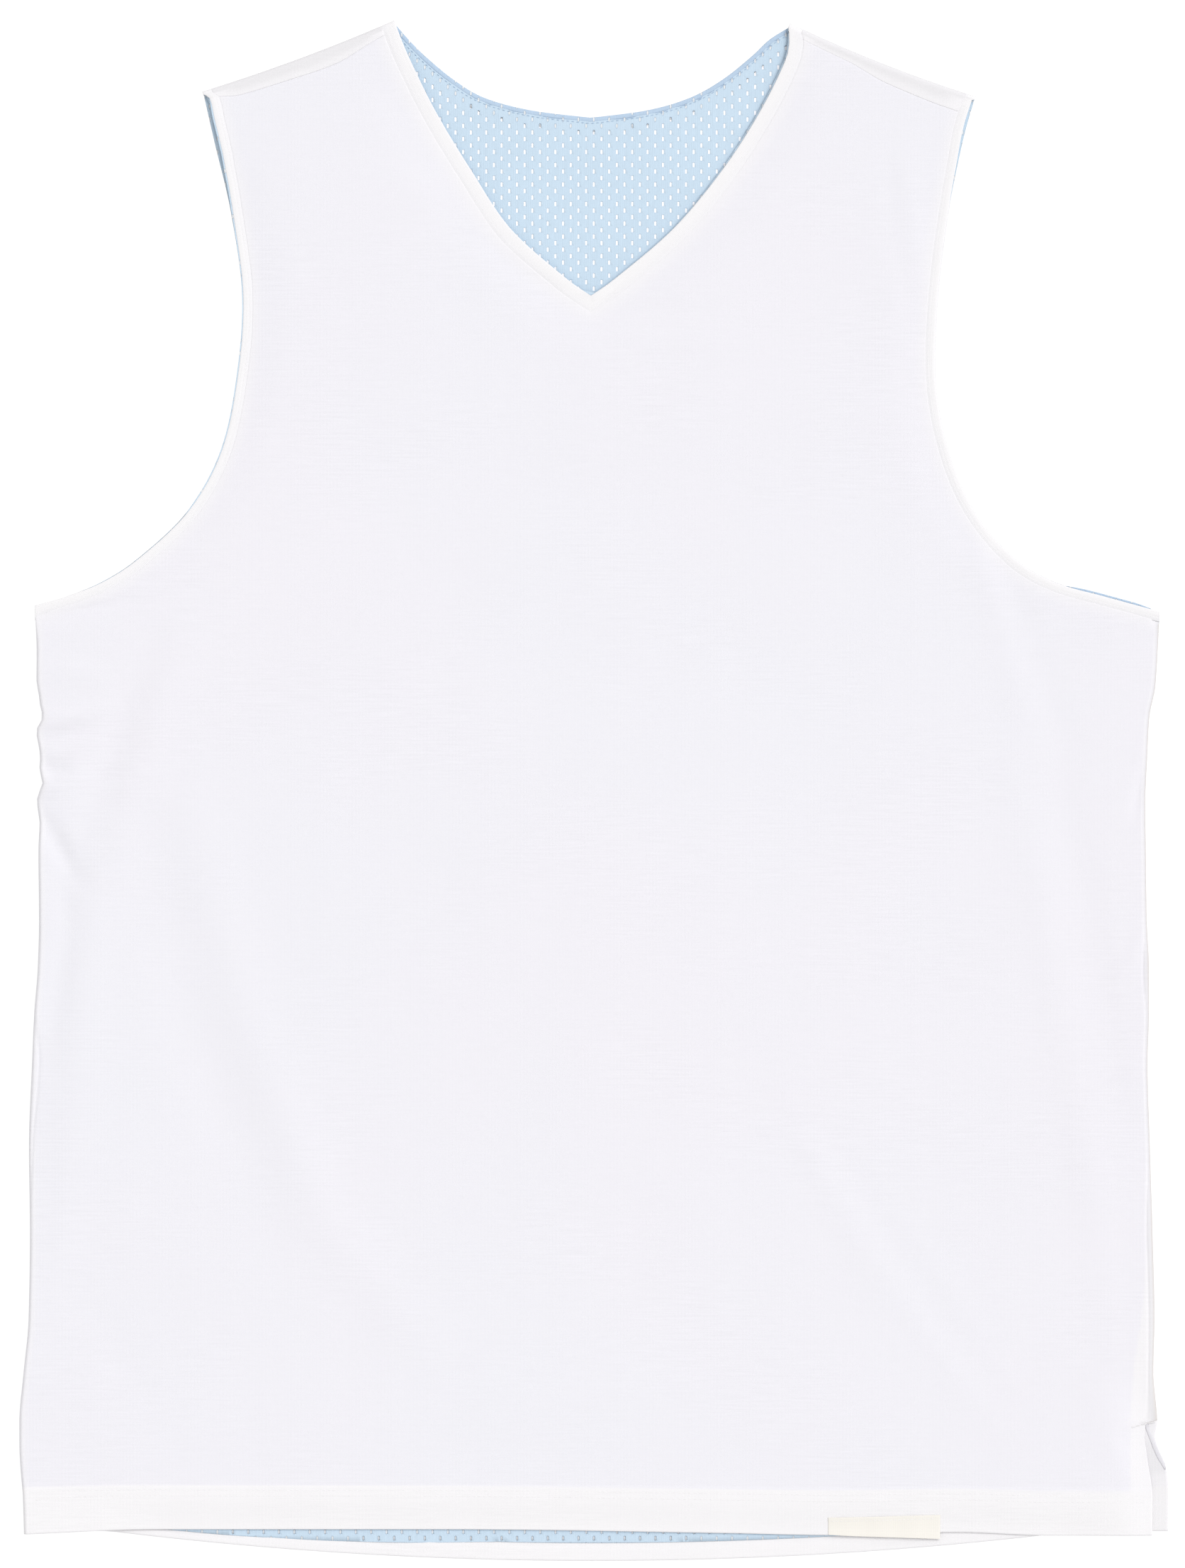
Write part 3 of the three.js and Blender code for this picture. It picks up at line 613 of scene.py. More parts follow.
class Cloth:
    """A sheet of cloth that is being made, from grids whose points are put in place."""

    def __init__(self) -> None:
        """Starts an empty mesh."""
        self.mesh = bmesh.new()
        self.inward = self.mesh.verts.layers.float_vector.new("inward")
        self.white = self.mesh.verts.layers.float.new("white")
        # Painted shading: darkens the knit as painted shade, or lightens it as painted light where it is
        # below zero
        self.painted_shading = self.mesh.verts.layers.float.new("painted_shading")
        self.along = self.mesh.loops.layers.uv.new("along")

    def add_grid(self, columns: int, rows: int, cell: Callable[[int, int], Cell]) -> None:
        """Adds a grid of cells.

        Args:
            columns: how many points it has across.
            rows: how many points it has down.
            cell: gives the cell at a column and a row.
        """
        made = bmesh.ops.create_grid(self.mesh, x_segments=columns - 1, y_segments=rows - 1, size=0.5)
        marks = {}
        for vertex in made["verts"]:
            column = round((vertex.co.x + 0.5) * (columns - 1))
            row = round((vertex.co.y + 0.5) * (rows - 1))
            spot = cell(column, row)
            marks[vertex] = (column, row)
            vertex.co = spot.outer
            vertex[self.inward] = spot.inner - spot.outer
            vertex[self.white] = spot.white
            vertex[self.painted_shading] = spot.painted_shading
        for face in {face for vertex in made["verts"] for face in vertex.link_faces}:
            for loop in face.loops:
                loop[self.along].uv = marks[loop.vert]

    def close(self, gap: float = 0.02) -> None:
        """Joins points that lie together."""
        bmesh.ops.remove_doubles(self.mesh, verts=self.mesh.verts, dist=gap * MM)
        bmesh.ops.dissolve_degenerate(self.mesh, edges=self.mesh.edges, dist=gap * MM / 4)

    def thicken(self) -> None:
        """Gives the sheet its inner face and its rims."""
        sheet = self.mesh.faces[:]
        made = bmesh.ops.extrude_face_region(self.mesh, geom=sheet, use_keep_orig=True)
        for item in made["geom"]:
            if isinstance(item, BMVert):
                item.co += item[self.inward]

    def finish(self, name: str, look: "Finish") -> Object:
        """Makes the object.

        Args:
            name: name of the piece.
            look: its finish.

        Returns:
            The piece, which rides on the garment.
        """
        self.mesh.verts.layers.float_vector.remove(self.inward)
        return make_piece(name, self.mesh, look)


def make_strip(name: str, size: tuple[int, int], cell: Callable[[int, int], Cell],
               look: "Finish") -> Object:
    """Makes a piece of one grid of cloth.

    Args:
        name: name of the piece.
        size: how many points it has across and along.
        cell: gives the cell at a column and a row.
        look: its finish.

    Returns:
        The piece.
    """
    cloth = Cloth()
    cloth.add_grid(*size, cell)
    cloth.thicken()
    return cloth.finish(name, look)


def put_out(name: str, data: ID) -> Object:
    """Makes an object of some data and links it to the scene."""
    made = bpy.data.objects.new(name, data)
    bpy.context.collection.objects.link(made)
    return made


def make_piece(name: str, mesh: BMesh, look: "Finish") -> Object:
    """Makes a piece of the garment from a finished mesh.

    Args:
        name: name of the piece.
        mesh: its mesh, in metres and in place. It is freed.
        look: its finish.

    Returns:
        The piece.
    """
    bmesh.ops.recalc_face_normals(mesh, faces=mesh.faces)
    data = bpy.data.meshes.new(name)
    for face in mesh.faces:
        face.smooth = len(face.verts) < END_CORNERS
    mesh.to_mesh(data)
    mesh.free()
    data.materials.append(look.material)
    piece = put_out(name, data)
    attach(piece, "root")
    triangles = sum(len(polygon.vertices) - 2 for polygon in data.polygons)
    log.info("%s: %d triangles", name, triangles)
    return piece


def linear(red: float, green: float, blue: float) -> tuple[float, float, float, float]:
    """Linear colour of one given as on a screen, from 0 to 255."""
    parts = []
    for value in (red, green, blue):
        share = value / 255
        parts.append(share / 12.92 if share <= 0.04045 else ((share + 0.055) / 1.055) ** 2.4)
    return (*parts, 1.0)


def shown(red: float, green: float, blue: float) -> tuple[float, float, float, float]:
    """Colour of a cloth that looks as given, from 0 to 255, under the studio's lamps."""
    bright = linear(red, green, blue)
    return (bright[0] / EXPOSURE, bright[1] / EXPOSURE, bright[2] / EXPOSURE, 1.0)


class Bench:
    """A node tree that is being wired."""

    def __init__(self, tree: NodeTree) -> None:
        """Takes the tree to add nodes to."""
        self.tree = tree

    def feed(self, socket: NodeSocket, value: object) -> None:
        """Links a socket to an input, or sets it to a value."""
        if isinstance(value, NodeSocket):
            self.tree.links.new(value, socket)
        else:
            socket.default_value = value

    def node(self, kind: str, settings: dict[str, object] | None = None, **feeds: object) -> Node:
        """Adds a node.

        Args:
            kind: its Blender type, without the ShaderNode that it starts with.
            settings: properties to set on it.
            feeds: what its inputs get, by name, with a low line for each space.

        Returns:
            The node.
        """
        made = self.tree.nodes.new(f"ShaderNode{kind}")
        for name, value in (settings or {}).items():
            setattr(made, name, value)
        self.dress(made, **feeds)
        return made

    def dress(self, node: Node, **feeds: object) -> None:
        """Feeds inputs of a node, by name, with a low line for each space."""
        for name, value in feeds.items():
            self.feed(node.inputs[name.replace("_", " ")], value)

    def math(self, operation: str, *values: object) -> NodeSocket:
        """Result of a sum on numbers or sockets."""
        made = self.node("Math", {"operation": operation})
        for socket, value in zip(made.inputs, values):
            self.feed(socket, value)
        return made.outputs[0]

    def ramp(self, value: object, low: float, high: float, start: float = 0.0,
             end: float = 1.0) -> NodeSocket:
        """A value that runs smoothly from start to end between two bounds."""
        made = self.node("MapRange", {"interpolation_type": "SMOOTHSTEP"}, Value=value, From_Min=low,
                         From_Max=high, To_Min=start, To_Max=end)
        return made.outputs[0]

    def mix(self, share: object, first: object, second: object) -> NodeSocket:
        """A mix of two colours."""
        made = self.node("Mix", {"data_type": "RGBA"})
        for index, value in ((0, share), (6, first), (7, second)):
            self.feed(made.inputs[index], value)
        return made.outputs[2]

    def shade(self, colour: object, value: object, strength: float) -> NodeSocket:
        """A colour made lighter or darker by a value round zero."""
        factor = self.math("MULTIPLY_ADD", value, strength, 1.0)
        made = self.node("VectorMath", {"operation": "SCALE"})
        self.feed(made.inputs[0], colour[:3] if isinstance(colour, tuple) else colour)
        self.feed(made.inputs["Scale"], factor)
        return made.outputs[0]

    def noise(self, vector: object, scale: tuple[float, float, float], detail: float = 2.0
              ) -> NodeSocket:
        """Noise round zero, stretched by its scale each way."""
        mapping = self.node("Mapping", Vector=vector, Scale=scale)
        made = self.node("TexNoise", Vector=mapping.outputs[0], Scale=1.0, Detail=detail)
        return self.math("SUBTRACT", made.outputs[0], 0.5)

    def group(self, tree: NodeTree, **feeds: object) -> Node:
        """Adds a group with its inputs."""
        made = self.tree.nodes.new("ShaderNodeGroup")
        made.node_tree = tree
        self.dress(made, **feeds)
        return made


def new_group(name: str, inputs: dict[str, float | None], outputs: Sequence[str]
              ) -> tuple[Bench, dict[str, NodeSocket], Node]:
    """Starts a shader node group.

    Args:
        name: name of the group.
        inputs: its inputs with their defaults, None for a vector.
        outputs: names of its outputs, all single values.

    Returns:
        Its bench, its inputs by name, and its output node.
    """
    tree = bpy.data.node_groups.new(name, "ShaderNodeTree")
    for label, default in inputs.items():
        kind = "NodeSocketVector" if default is None else "NodeSocketFloat"
        socket = tree.interface.new_socket(name=label, in_out="INPUT", socket_type=kind)
        if default is not None:
            socket.default_value = default
    for label in outputs:
        tree.interface.new_socket(name=label, in_out="OUTPUT", socket_type="NodeSocketFloat")
    source = tree.nodes.new("NodeGroupInput")
    sink = tree.nodes.new("NodeGroupOutput")
    return Bench(tree), {label: source.outputs[label] for label in inputs}, sink


def knit_group() -> NodeTree:
    """Rows of knitted loops: their height, and a painted shade round zero that darkens the grooves between
    them.
    """
    bench, given, sink = new_group("knit loops", {"Vector": None, "Wale": 0.0007, "Course": 0.0006},
                                   ("Height", "Shade"))
    parts = bench.node("SeparateXYZ", Vector=given["Vector"])
    across = bench.math("FRACT", bench.math("DIVIDE", parts.outputs["X"], given["Wale"]))
    from_middle = bench.math("MULTIPLY", bench.math("ABSOLUTE", bench.math("SUBTRACT", across, 0.5)), 2.0)
    up = bench.math("DIVIDE", parts.outputs["Y"], given["Course"])
    slanted = bench.math("FRACT", bench.math("MULTIPLY_ADD", from_middle, 0.8, up))
    loop = bench.math("SINE", bench.math("MULTIPLY", slanted, math.pi))
    groove = bench.math("POWER", from_middle, 3.0)
    height = bench.math("SUBTRACT", loop, groove)
    bench.feed(sink.inputs["Height"], height)
    bench.feed(sink.inputs["Shade"], bench.math("SUBTRACT", height, 0.4))
    return bench.tree


def wear_group() -> NodeTree:
    """Uneven yarn: thin streaks and soft blotches, both round zero, and a wide change of tone."""
    bench, given, sink = new_group("uneven yarn", {"Vector": None}, ("Streaks", "Blotches", "Tone"))
    streaks = bench.noise(given["Vector"], (50, 900, 1), 3.0)
    patches = bench.noise(given["Vector"], (9, 14, 1), 1.0)
    patchy = bench.math("MULTIPLY", streaks, bench.ramp(patches, -0.1, 0.15, 0.25, 1.0))
    bench.feed(sink.inputs["Streaks"], patchy)
    bench.feed(sink.inputs["Blotches"], bench.noise(given["Vector"], (18, 13, 18), 3.0))
    bench.feed(sink.inputs["Tone"], bench.ramp(bench.noise(given["Vector"], (5, 4, 5), 2.0), -0.2, 0.2))
    return bench.tree


@dataclass(frozen=True)
class Lattice:
    """The even net of long holes in the mesh cloth."""

    pitch_x: float = 3.99
    pitch_down: float = 3.38
    first_down: float = 112.2
    hole_width: float = 1.1
    hole_height: float = 2.4

    def group(self) -> NodeTree:
        """Masks of the holes and of their rims, for a vector in metres."""
        bench, given, sink = new_group("hole net", {"Vector": None}, ("Hole", "Rim"))
        parts = bench.node("SeparateXYZ", Vector=given["Vector"])
        top = (BODY_LENGTH / 2 - self.first_down) * MM
        x = bench.math("DIVIDE", parts.outputs["X"], self.pitch_x * MM)
        y = bench.math("DIVIDE", bench.math("SUBTRACT", parts.outputs["Y"], top), self.pitch_down * MM)
        column, row = bench.math("ROUND", x), bench.math("ROUND", y)
        odd = bench.math("PINGPONG", bench.math("ADD", column, row), 1.0)
        squares = []
        for at, cell, pitch, size in ((x, column, self.pitch_x, self.hole_width),
                                      (y, row, self.pitch_down, self.hole_height)):
            off = bench.math("MULTIPLY", bench.math("SUBTRACT", at, cell), pitch)
            share = bench.math("DIVIDE", off, size / 2)
            squares.append(bench.math("MULTIPLY", share, share))
        away = bench.math("SQRT", bench.math("ADD", *squares))
        away = bench.math("MULTIPLY_ADD", odd, 9.0, away)
        bench.feed(sink.inputs["Hole"], bench.ramp(away, 0.85, 1.05, 1.0, 0.0))
        bench.feed(sink.inputs["Rim"], bench.ramp(away, 1.0, 1.75, 1.0, 0.0))
        return bench.tree


LATTICE = Lattice()


def start_material(name: str) -> tuple[Material, Bench, Node]:
    """Starts a material, and gives it with its bench and its shader."""
    made = bpy.data.materials.new(name)
    made.use_nodes = True
    return made, Bench(made.node_tree), made.node_tree.nodes["Principled BSDF"]


@dataclass(frozen=True)
class Finish:
    """A finish: its material, and the name of its material slot."""

    material: Material
    slot: str


class Looks:
    """The finishes, each made once."""

    # Warm grey that the heaviest painted shade turns the knit towards, at the front's rolled right edge
    WARM_SHADE = shown(250.5, 245.5, 242)

    def __init__(self) -> None:
        """Makes the shared groups and every material."""
        self.knit = knit_group()
        self.wear = wear_group()
        self.net = LATTICE.group()
        self.jersey = self.knit_cloth("jersey", shown(247, 244.8, 250.8), shown(252, 250.2, 252), False)
        self.band = self.knit_cloth("band", shown(246.4, 244.6, 249.8), shown(252.4, 250.8, 252.2), True)
        self.mesh = self.mesh_cloth("cloth", shown(209.5, 230, 247), shown(184, 208, 233))
        self.facing = self.mesh_cloth("facing", shown(172, 196, 222), shown(160, 185, 212))
        self.piping = self.mesh_cloth("piping", shown(193, 215, 238), shown(176, 201, 228))
        self.label = self.woven_label()
        self.thread = self.sewing_thread("white", shown(252, 250, 251), self.band.slot)
        self.blue_thread = self.sewing_thread("blue", shown(170, 197, 226), self.mesh.slot)

    def start(self, name: str, along: bool = False
              ) -> tuple[Material, Bench, Node, NodeSocket]:
        """Starts a material.

        Args:
            name: name of the material.
            along: whether patterns follow the cloth, and not the object.

        Returns:
            The material, its bench, its shader, and the vector that its patterns read.
        """
        made, bench, shader = start_material(name)
        if along:
            source = bench.node("UVMap", {"uv_map": "along"}).outputs[0]
            vector = bench.node("Mapping", Vector=source, Scale=(MM, MM, MM)).outputs[0]
        else:
            vector = bench.node("TexCoord").outputs["Object"]
        return made, bench, shader, vector

    def relief(self, bench: Bench, shader: Node, heights: Sequence[tuple[object, float]]) -> None:
        """Adds up heights, each with its depth in millimetres, as the bump of a shader."""
        total: object = 0.0
        for height, depth in heights:
            total = bench.math("MULTIPLY_ADD", height, depth, total)
        bump = bench.node("Bump", Strength=1.0, Distance=MM, Height=total)
        bench.feed(shader.inputs["Normal"], bump.outputs[0])

    def knit_cloth(self, use: str, over_lining: tuple, plain: tuple, along: bool) -> Finish:
        """White weft knit.

        Args:
            use: what it is used for.
            over_lining: its colour where the lining shows through.
            plain: its colour where white cloth lies behind.
            along: whether the loops follow the piece.

        Returns:
            The finish.
        """
        made, bench, shader, vector = self.start(f"{use} knit", along)
        loops = bench.group(self.knit, Vector=vector, Wale=0.00072, Course=0.0006)
        wear = bench.group(self.wear, Vector=vector)
        white = bench.node("Attribute", {"attribute_name": "white"}).outputs["Fac"]
        painted_shading = bench.node("Attribute", {"attribute_name": "painted_shading"}).outputs["Fac"]
        cooler = (over_lining[0] * 0.99, over_lining[1] * 1.002, over_lining[2], 1.0)
        lavender = bench.mix(wear.outputs["Tone"], cooler, over_lining)
        # Painted shading: above 1.2 the colour turns towards a warm grey, and the whole value darkens it as
        # painted shade, or lightens it as painted light below zero
        colour = bench.mix(bench.ramp(painted_shading, 1.2, 2.6), bench.mix(white, lavender, plain), self.WARM_SHADE)
        colour = bench.shade(colour, painted_shading, -0.09)
        colour = bench.shade(colour, wear.outputs["Streaks"], 0.08)
        colour = bench.shade(colour, wear.outputs["Blotches"], 0.016)
        colour = bench.shade(colour, loops.outputs["Shade"], 0.02)
        rough = bench.math("MULTIPLY_ADD", wear.outputs["Blotches"], 0.1, 0.82)
        bench.dress(shader, Base_Color=colour, Roughness=rough, Specular_IOR_Level=0.2, Sheen_Weight=0.08,
                    Sheen_Roughness=0.4)
        self.relief(bench, shader, ((loops.outputs["Height"], 0.05), (wear.outputs["Streaks"], 0.12),
                                    (wear.outputs["Blotches"], 0.35)))
        return Finish(made, f"{use}_knit")

    def mesh_cloth(self, use: str, plain: tuple, rim: tuple) -> Finish:
        """Light blue mesh. Its holes are cut where they show, and coloured in elsewhere."""
        made, bench, shader, vector = self.start(f"mesh {use}")
        loops = bench.group(self.knit, Vector=vector, Wale=0.00055, Course=0.0009)
        wear = bench.group(self.wear, Vector=vector)
        net = bench.group(self.net, Vector=vector)
        ribs = bench.noise(vector, (900, 110, 1), 2.0)
        colour = bench.mix(bench.math("MULTIPLY", net.outputs["Rim"], 0.3), plain, rim)
        colour = bench.mix(bench.math("MULTIPLY", net.outputs["Hole"], 0.85), colour, shown(246, 248, 250))
        colour = bench.shade(colour, ribs, 0.12)
        colour = bench.shade(colour, wear.outputs["Blotches"], 0.05)
        colour = bench.shade(colour, loops.outputs["Shade"], 0.04)
        bench.dress(shader, Base_Color=colour, Roughness=bench.math("MULTIPLY_ADD", ribs, 0.2, 0.62),
                    Specular_IOR_Level=0.3, Sheen_Weight=0.15, Sheen_Roughness=0.35)
        self.relief(bench, shader, ((loops.outputs["Height"], 0.05), (net.outputs["Hole"], -0.25),
                                    (net.outputs["Rim"], 0.06), (ribs, 0.08)))
        return Finish(made, "mesh_lining")

    def woven_label(self) -> Finish:
        """Cream woven tape, bare, with a fine raised border."""
        made, bench, shader, vector = self.start("woven label")
        warp = bench.node("TexWave", {"bands_direction": "X"}, Vector=vector, Scale=520.0, Distortion=0.6)
        weft = bench.node("TexWave", {"bands_direction": "Y"}, Vector=vector, Scale=420.0, Distortion=0.6)
        weave = bench.math("MULTIPLY", warp.outputs["Fac"], weft.outputs["Fac"])
        wear = bench.group(self.wear, Vector=vector)
        colour = bench.shade(shown(249.6, 245.6, 238), bench.math("SUBTRACT", weave, 0.3), 0.05)
        colour = bench.shade(colour, wear.outputs["Blotches"], 0.04)
        bench.dress(shader, Base_Color=colour, Roughness=bench.math("MULTIPLY_ADD", weave, 0.15, 0.6),
                    Sheen_Weight=0.1)
        self.relief(bench, shader, ((weave, 0.06), (wear.outputs["Blotches"], 0.1)))
        return Finish(made, "woven_label")

    def sewing_thread(self, use: str, colour: tuple, slot: str) -> Finish:
        """Twisted sewing thread."""
        made, bench, shader, vector = self.start(f"{use} thread")
        twist = bench.node("TexWave", {"bands_direction": "DIAGONAL"}, Vector=vector, Scale=900.0)
        lay = bench.math("SUBTRACT", twist.outputs["Fac"], 0.5)
        bench.dress(shader, Base_Color=bench.shade(colour, lay, 0.08),
                    Roughness=bench.math("MULTIPLY_ADD", lay, 0.1, 0.5))
        self.relief(bench, shader, ((lay, 0.04),))
        return Finish(made, slot)


@dataclass(frozen=True)
class Columns:
    """Where the points of a row lie: close together at its ends, even between them."""

    outer: tuple[float, ...] = (0, 0.08, 0.25, 0.5, 0.9, 1.3, 1.8, 2.3, 2.8, 3.3, 3.8, 4.5, 5.4, 6.6, 8,
                                9.6, 11.2, 12.6, 14, 16, 18.5, 21.5)
    inner: tuple[float, ...] = (7, 4.4, 3, 2, 1.2, 0.6, 0)
    even: int = 38

    @property
    def count(self) -> int:
        """How many points a row has."""
        return len(self.outer) + self.even + len(self.inner)

    def distances(self, length: float) -> list[float]:
        """Distances of the points from the outer end of a row."""
        start, end = self.outer[-1], length - self.inner[0]
        step = (end - start) / (self.even + 1)
        middle = [start + step * (index + 1) for index in range(self.even)]
        return [*self.outer, *middle, *(length - back for back in self.inner)]


@dataclass
class Row:
    """A row of a half panel, from its outer to its inner end, and whether a band covers the outer one."""

    outer: Vector
    inner: Vector
    banded: bool


@dataclass
class BodyPanels:
    """The white front and back, with their turned hems."""

    looks: Looks
    columns: Columns = field(default_factory=Columns)
    side_step: float = 4.1
    hem_rows: tuple[float, ...] = (760.4, 761.0, 761.7, 762.6, 764, 766, 768.5, 771, 773.5, 776, 778,
                                   780, 781.6, 783)
    rim_rows: tuple[float, ...] = (1.3, 0.8, 0.45, 0.2, 0.06, 0)
    vent_rows: tuple[float, ...] = (722, 725, 727, 728.4, 729.4, 731, 734)
    lap_depth: float = 0.8
    edge_painted_shade: float = 2.5
    facing_cloth: float = 1.75
    facing_width: float = 12.8
    turns: int = 12
    laps: tuple[float, ...] = (0, 0.07, 0.2, 0.4, 0.6, 0.8)
    seam_rows: tuple[tuple[float, float], ...] = ((-1.4, 0.85), (-0.3, 0.72), (-0.05, 0.2), (0.2, 0.02),
                                                  (1.2, 0))

    def rows(self, panel: Panel, side: Side, bottom: float) -> list[Row]:
        """Rows of half a panel.

        Args:
            panel: the front or the back.
            side: the left or the right.
            bottom: distance down of the lower edge, before its curve.

        Returns:
            The rows from the shoulder to the hem.
        """
        neck, arm = PATTERN.neck[panel, side], PATTERN.armhole[panel, side]
        first = 1 if panel is FRONT else 0
        neck_in, arm_in = NECK_BAND - PATTERN.LAP, ARMHOLE_BAND - PATTERN.LAP
        low = -neck[-1].inside(neck_in).y
        armpit = ARMPIT + arm_in
        below = len(arm) - len(neck)
        rows = []
        for index in range(first, len(arm)):
            by_neck = index < len(neck)
            share = (index - len(neck) + 1) / below
            inner = neck[index].inside(neck_in) if by_neck else plan(CENTRE_X, low + (armpit - low) * share)
            rows.append(Row(arm[index].inside(arm_in), inner, True))
        start = ARMPIT + ARMHOLE_BAND + 2.2
        count = round((self.hem_rows[0] - start) / self.side_step)
        downs = [start + (self.hem_rows[0] - start) * step / count for step in range(count)]
        downs = [down for down in downs if min(abs(down - row) for row in self.vent_rows) > 1.2]
        downs = sorted([*downs, *self.vent_rows])
        downs += [*self.hem_rows, *(bottom - back for back in self.rim_rows)]
        for down in downs:
            edge = PATTERN.side_edge(panel, side, down)
            rows.append(Row(plan(edge, down), plan(CENTRE_X, down), False))
        return rows

    def dip(self, gap: float) -> float:
        """Depth of the cloth where it goes under a band, by its distance beyond the band's seam."""
        return self.lap_depth * (1 - ease(gap, -1.0, 0.1))

    def front_white(self, point: Vector) -> float:
        """How white the front looks: whole where white cloth lies behind it."""
        down = -point.y
        neck_gap, arm_gap = PATTERN.gaps(FRONT, point)
        beside = PATTERN.side_gap(FRONT, point)
        line = HEM_LINE + (point.x + 296) / 600 * 1.8
        hem = ease(down, line - 0.5, line + 0.3)
        bands = max(0.8 * (1 - ease(neck_gap, -3, 9)), 0.75 * (1 - ease(arm_gap, -3, 7)))
        if PATTERN.side_of(point) is RIGHT and down > 600:
            line = PATTERN.facing_line(down)
            seam = ease(point.x, line - 0.7, line + 0.7) * (0.4 + 0.4 * ease(down, 600, 690))
        elif PATTERN.side_of(point) is RIGHT:
            seam = 0.4 * (1 - ease(beside, 1.8, 3.2))
        else:
            seam = 0.45 * (1 - ease(beside, 1.5, 5))
        return max(hem, bands, seam)

    def front_painted_shade(self, point: Vector) -> float:
        """Painted shade on the front, darker towards the rolled edge of its right side."""
        down = -point.y
        if PATTERN.side_of(point) is LEFT or down > VENT_TOP + 1:
            return 0.0
        beside = PATTERN.side_gap(FRONT, point)
        width = max(2.2, PATTERN.seam_in[RIGHT](down))
        return self.edge_painted_shade * max(0.0, 1 - beside / width) * ease(down, ARMPIT - 2, ARMPIT + 4)

    def front_cell(self, point: Vector, row: Row, from_outer: float, bottom: float) -> Cell:
        """Cell of the front over a point of the plan.

        Args:
            point: the point, before it settles.
            row: its row.
            from_outer: its distance from the row's outer end.
            bottom: distance down of the lower edge.

        Returns:
            The cell.
        """
        down = -point.y
        turned = ease(down, HEM_LINE, HEM_LINE + 1)
        cloth = PATTERN.CLOTH + (PATTERN.HEM_CLOTH - PATTERN.CLOTH) * turned
        top = PATTERN.front_top(point) + HEM_RAISE * turned
        neck_gap, arm_gap = PATTERN.gaps(FRONT, point)
        if down < ARMPIT + 12:
            top -= self.dip(min(neck_gap, arm_gap))
        draw = draw_in(bottom - down, cloth)
        if not row.banded:
            draw = max(draw, draw_in(from_outer, cloth))
        spot = PATTERN.settle(FRONT, point)
        return Cell(in_place(spot, top - draw), in_place(spot, top - cloth + draw), self.front_white(point),
                    self.front_painted_shade(point))

    def front(self) -> Object:
        """Makes the front, from the shoulder seams to the hem."""
        cloth = Cloth()
        for side in Side:
            rows = self.rows(FRONT, side, FRONT_HEM)
            points = self.points(rows)
            ways = [(after - point).normalized() for point, after in zip(points[0], points[1])]
            lead = [[point + way * row[0] for point, way in zip(points[0], ways)]
                    for row in self.seam_rows]
            points = [*lead, *points[1:]]
            rows = [*([rows[0]] * len(lead)), *rows[1:]]

            def cell(column: int, index: int) -> Cell:
                """Cell at a column of a row; the first rows go under the back's edge."""
                point = points[index][column]
                from_outer = (point - points[index][0]).length
                made = self.front_cell(point, rows[index], from_outer, FRONT_HEM)
                seam = self.seam_rows[index][1] if index < len(self.seam_rows) else 0.0
                seam *= 0.5 if side is RIGHT else 1.0
                sunk = Vector((0, 0, -seam * MM))
                return Cell(made.outer + sunk, made.inner + sunk, made.white, made.painted_shading)

            cloth.add_grid(self.columns.count, len(points), cell)
        cloth.close()
        cloth.thicken()
        return cloth.finish("front_body_cloth", self.looks.jersey)

    def points(self, rows: Sequence[Row]) -> list[list[Vector]]:
        """Points of the plan of each row."""
        made = []
        for row in rows:
            way = (row.inner - row.outer).normalized()
            length = (row.inner - row.outer).length
            made.append([row.outer + way * away for away in self.columns.distances(length)])
        return made

    def back_cell(self, point: Vector, row: Row, from_outer: float) -> Cell:
        """Cell of the back over a point of the plan, whose outer face lies on the floor."""
        down = -point.y
        neck_gap, arm_gap = PATTERN.gaps(BACK, point)
        dip = self.dip(min(neck_gap, arm_gap)) * 0.5 if down < ARMPIT + 12 else 0.0
        low = PATTERN.back_lift(point) + dip
        line = BACK_HEM - PATTERN.lining_rise(point.x)
        facing = 0.0
        if PATTERN.side_of(point) is RIGHT:
            within = 1 - ease(from_outer, self.facing_width, self.facing_width + 1)
            facing = ease(down, 724, 727) * within
        turned = max(ease(down, line - 0.3, line + 0.5), facing)
        cloth = PATTERN.CLOTH + (self.facing_cloth - PATTERN.CLOTH) * turned
        draw = draw_in(BACK_HEM - down, cloth)
        if not row.banded:
            draw = max(draw, draw_in(from_outer, cloth))
        spot = PATTERN.settle(BACK, point)
        hem = ease(down, HEM_LINE - 0.5, HEM_LINE + 0.3)
        bands = 0.5 * (1 - ease(min(neck_gap, arm_gap), 0, 10))
        seen = 1.0 if down < 160 else 0.0
        white = max(hem, bands, facing * 0.7, seen)
        # Painted light: the back is lightened where it shows through the holes of the neck's net; painted
        # shade darkens the strip beyond the right seam and the vent's flap
        tone = -2.0 * ease(neck_gap, -2, 1) * seen
        if PATTERN.side_of(point) is RIGHT:
            beside = 1 - ease(from_outer, 9, 10)
            tone += 0.4 * ease(down, 727, 729) * beside
            tone += 0.6 * ease(down, 733, 742) * (1 - ease(down, 752, 756)) * beside
        return Cell(in_place(spot, low + draw), in_place(spot, low + cloth - draw), white, tone)

    def fold_cells(self, fold: Shoulder, share: float, turn: float) -> Cell:
        """Cell on a shoulder fold, at a share of its length and a turn from its top to its bottom."""
        neck = fold.neck + fold.along * (NECK_BAND - PATTERN.LAP)
        tip = fold.tip - fold.along * (ARMHOLE_BAND - PATTERN.LAP)
        point = tip.lerp(neck, share)
        near = min(share, 1 - share) * (tip - neck).length
        dip = self.dip(near - PATTERN.LAP) * (0.75 + 0.25 * math.cos(math.pi * turn))
        centre = PATTERN.settle(BACK, point) + fold.inward * FOLD_RADIUS
        radius = FOLD_RADIUS - dip
        outer = fold.round_place(centre, radius, turn)
        inner = fold.round_place(centre, radius - PATTERN.CLOTH, turn)
        # Painted shade on the top of the shoulder fold, fading out towards its bottom
        return Cell(outer, inner, 0.8, 1 - ease(turn, 0.4, 0.7))

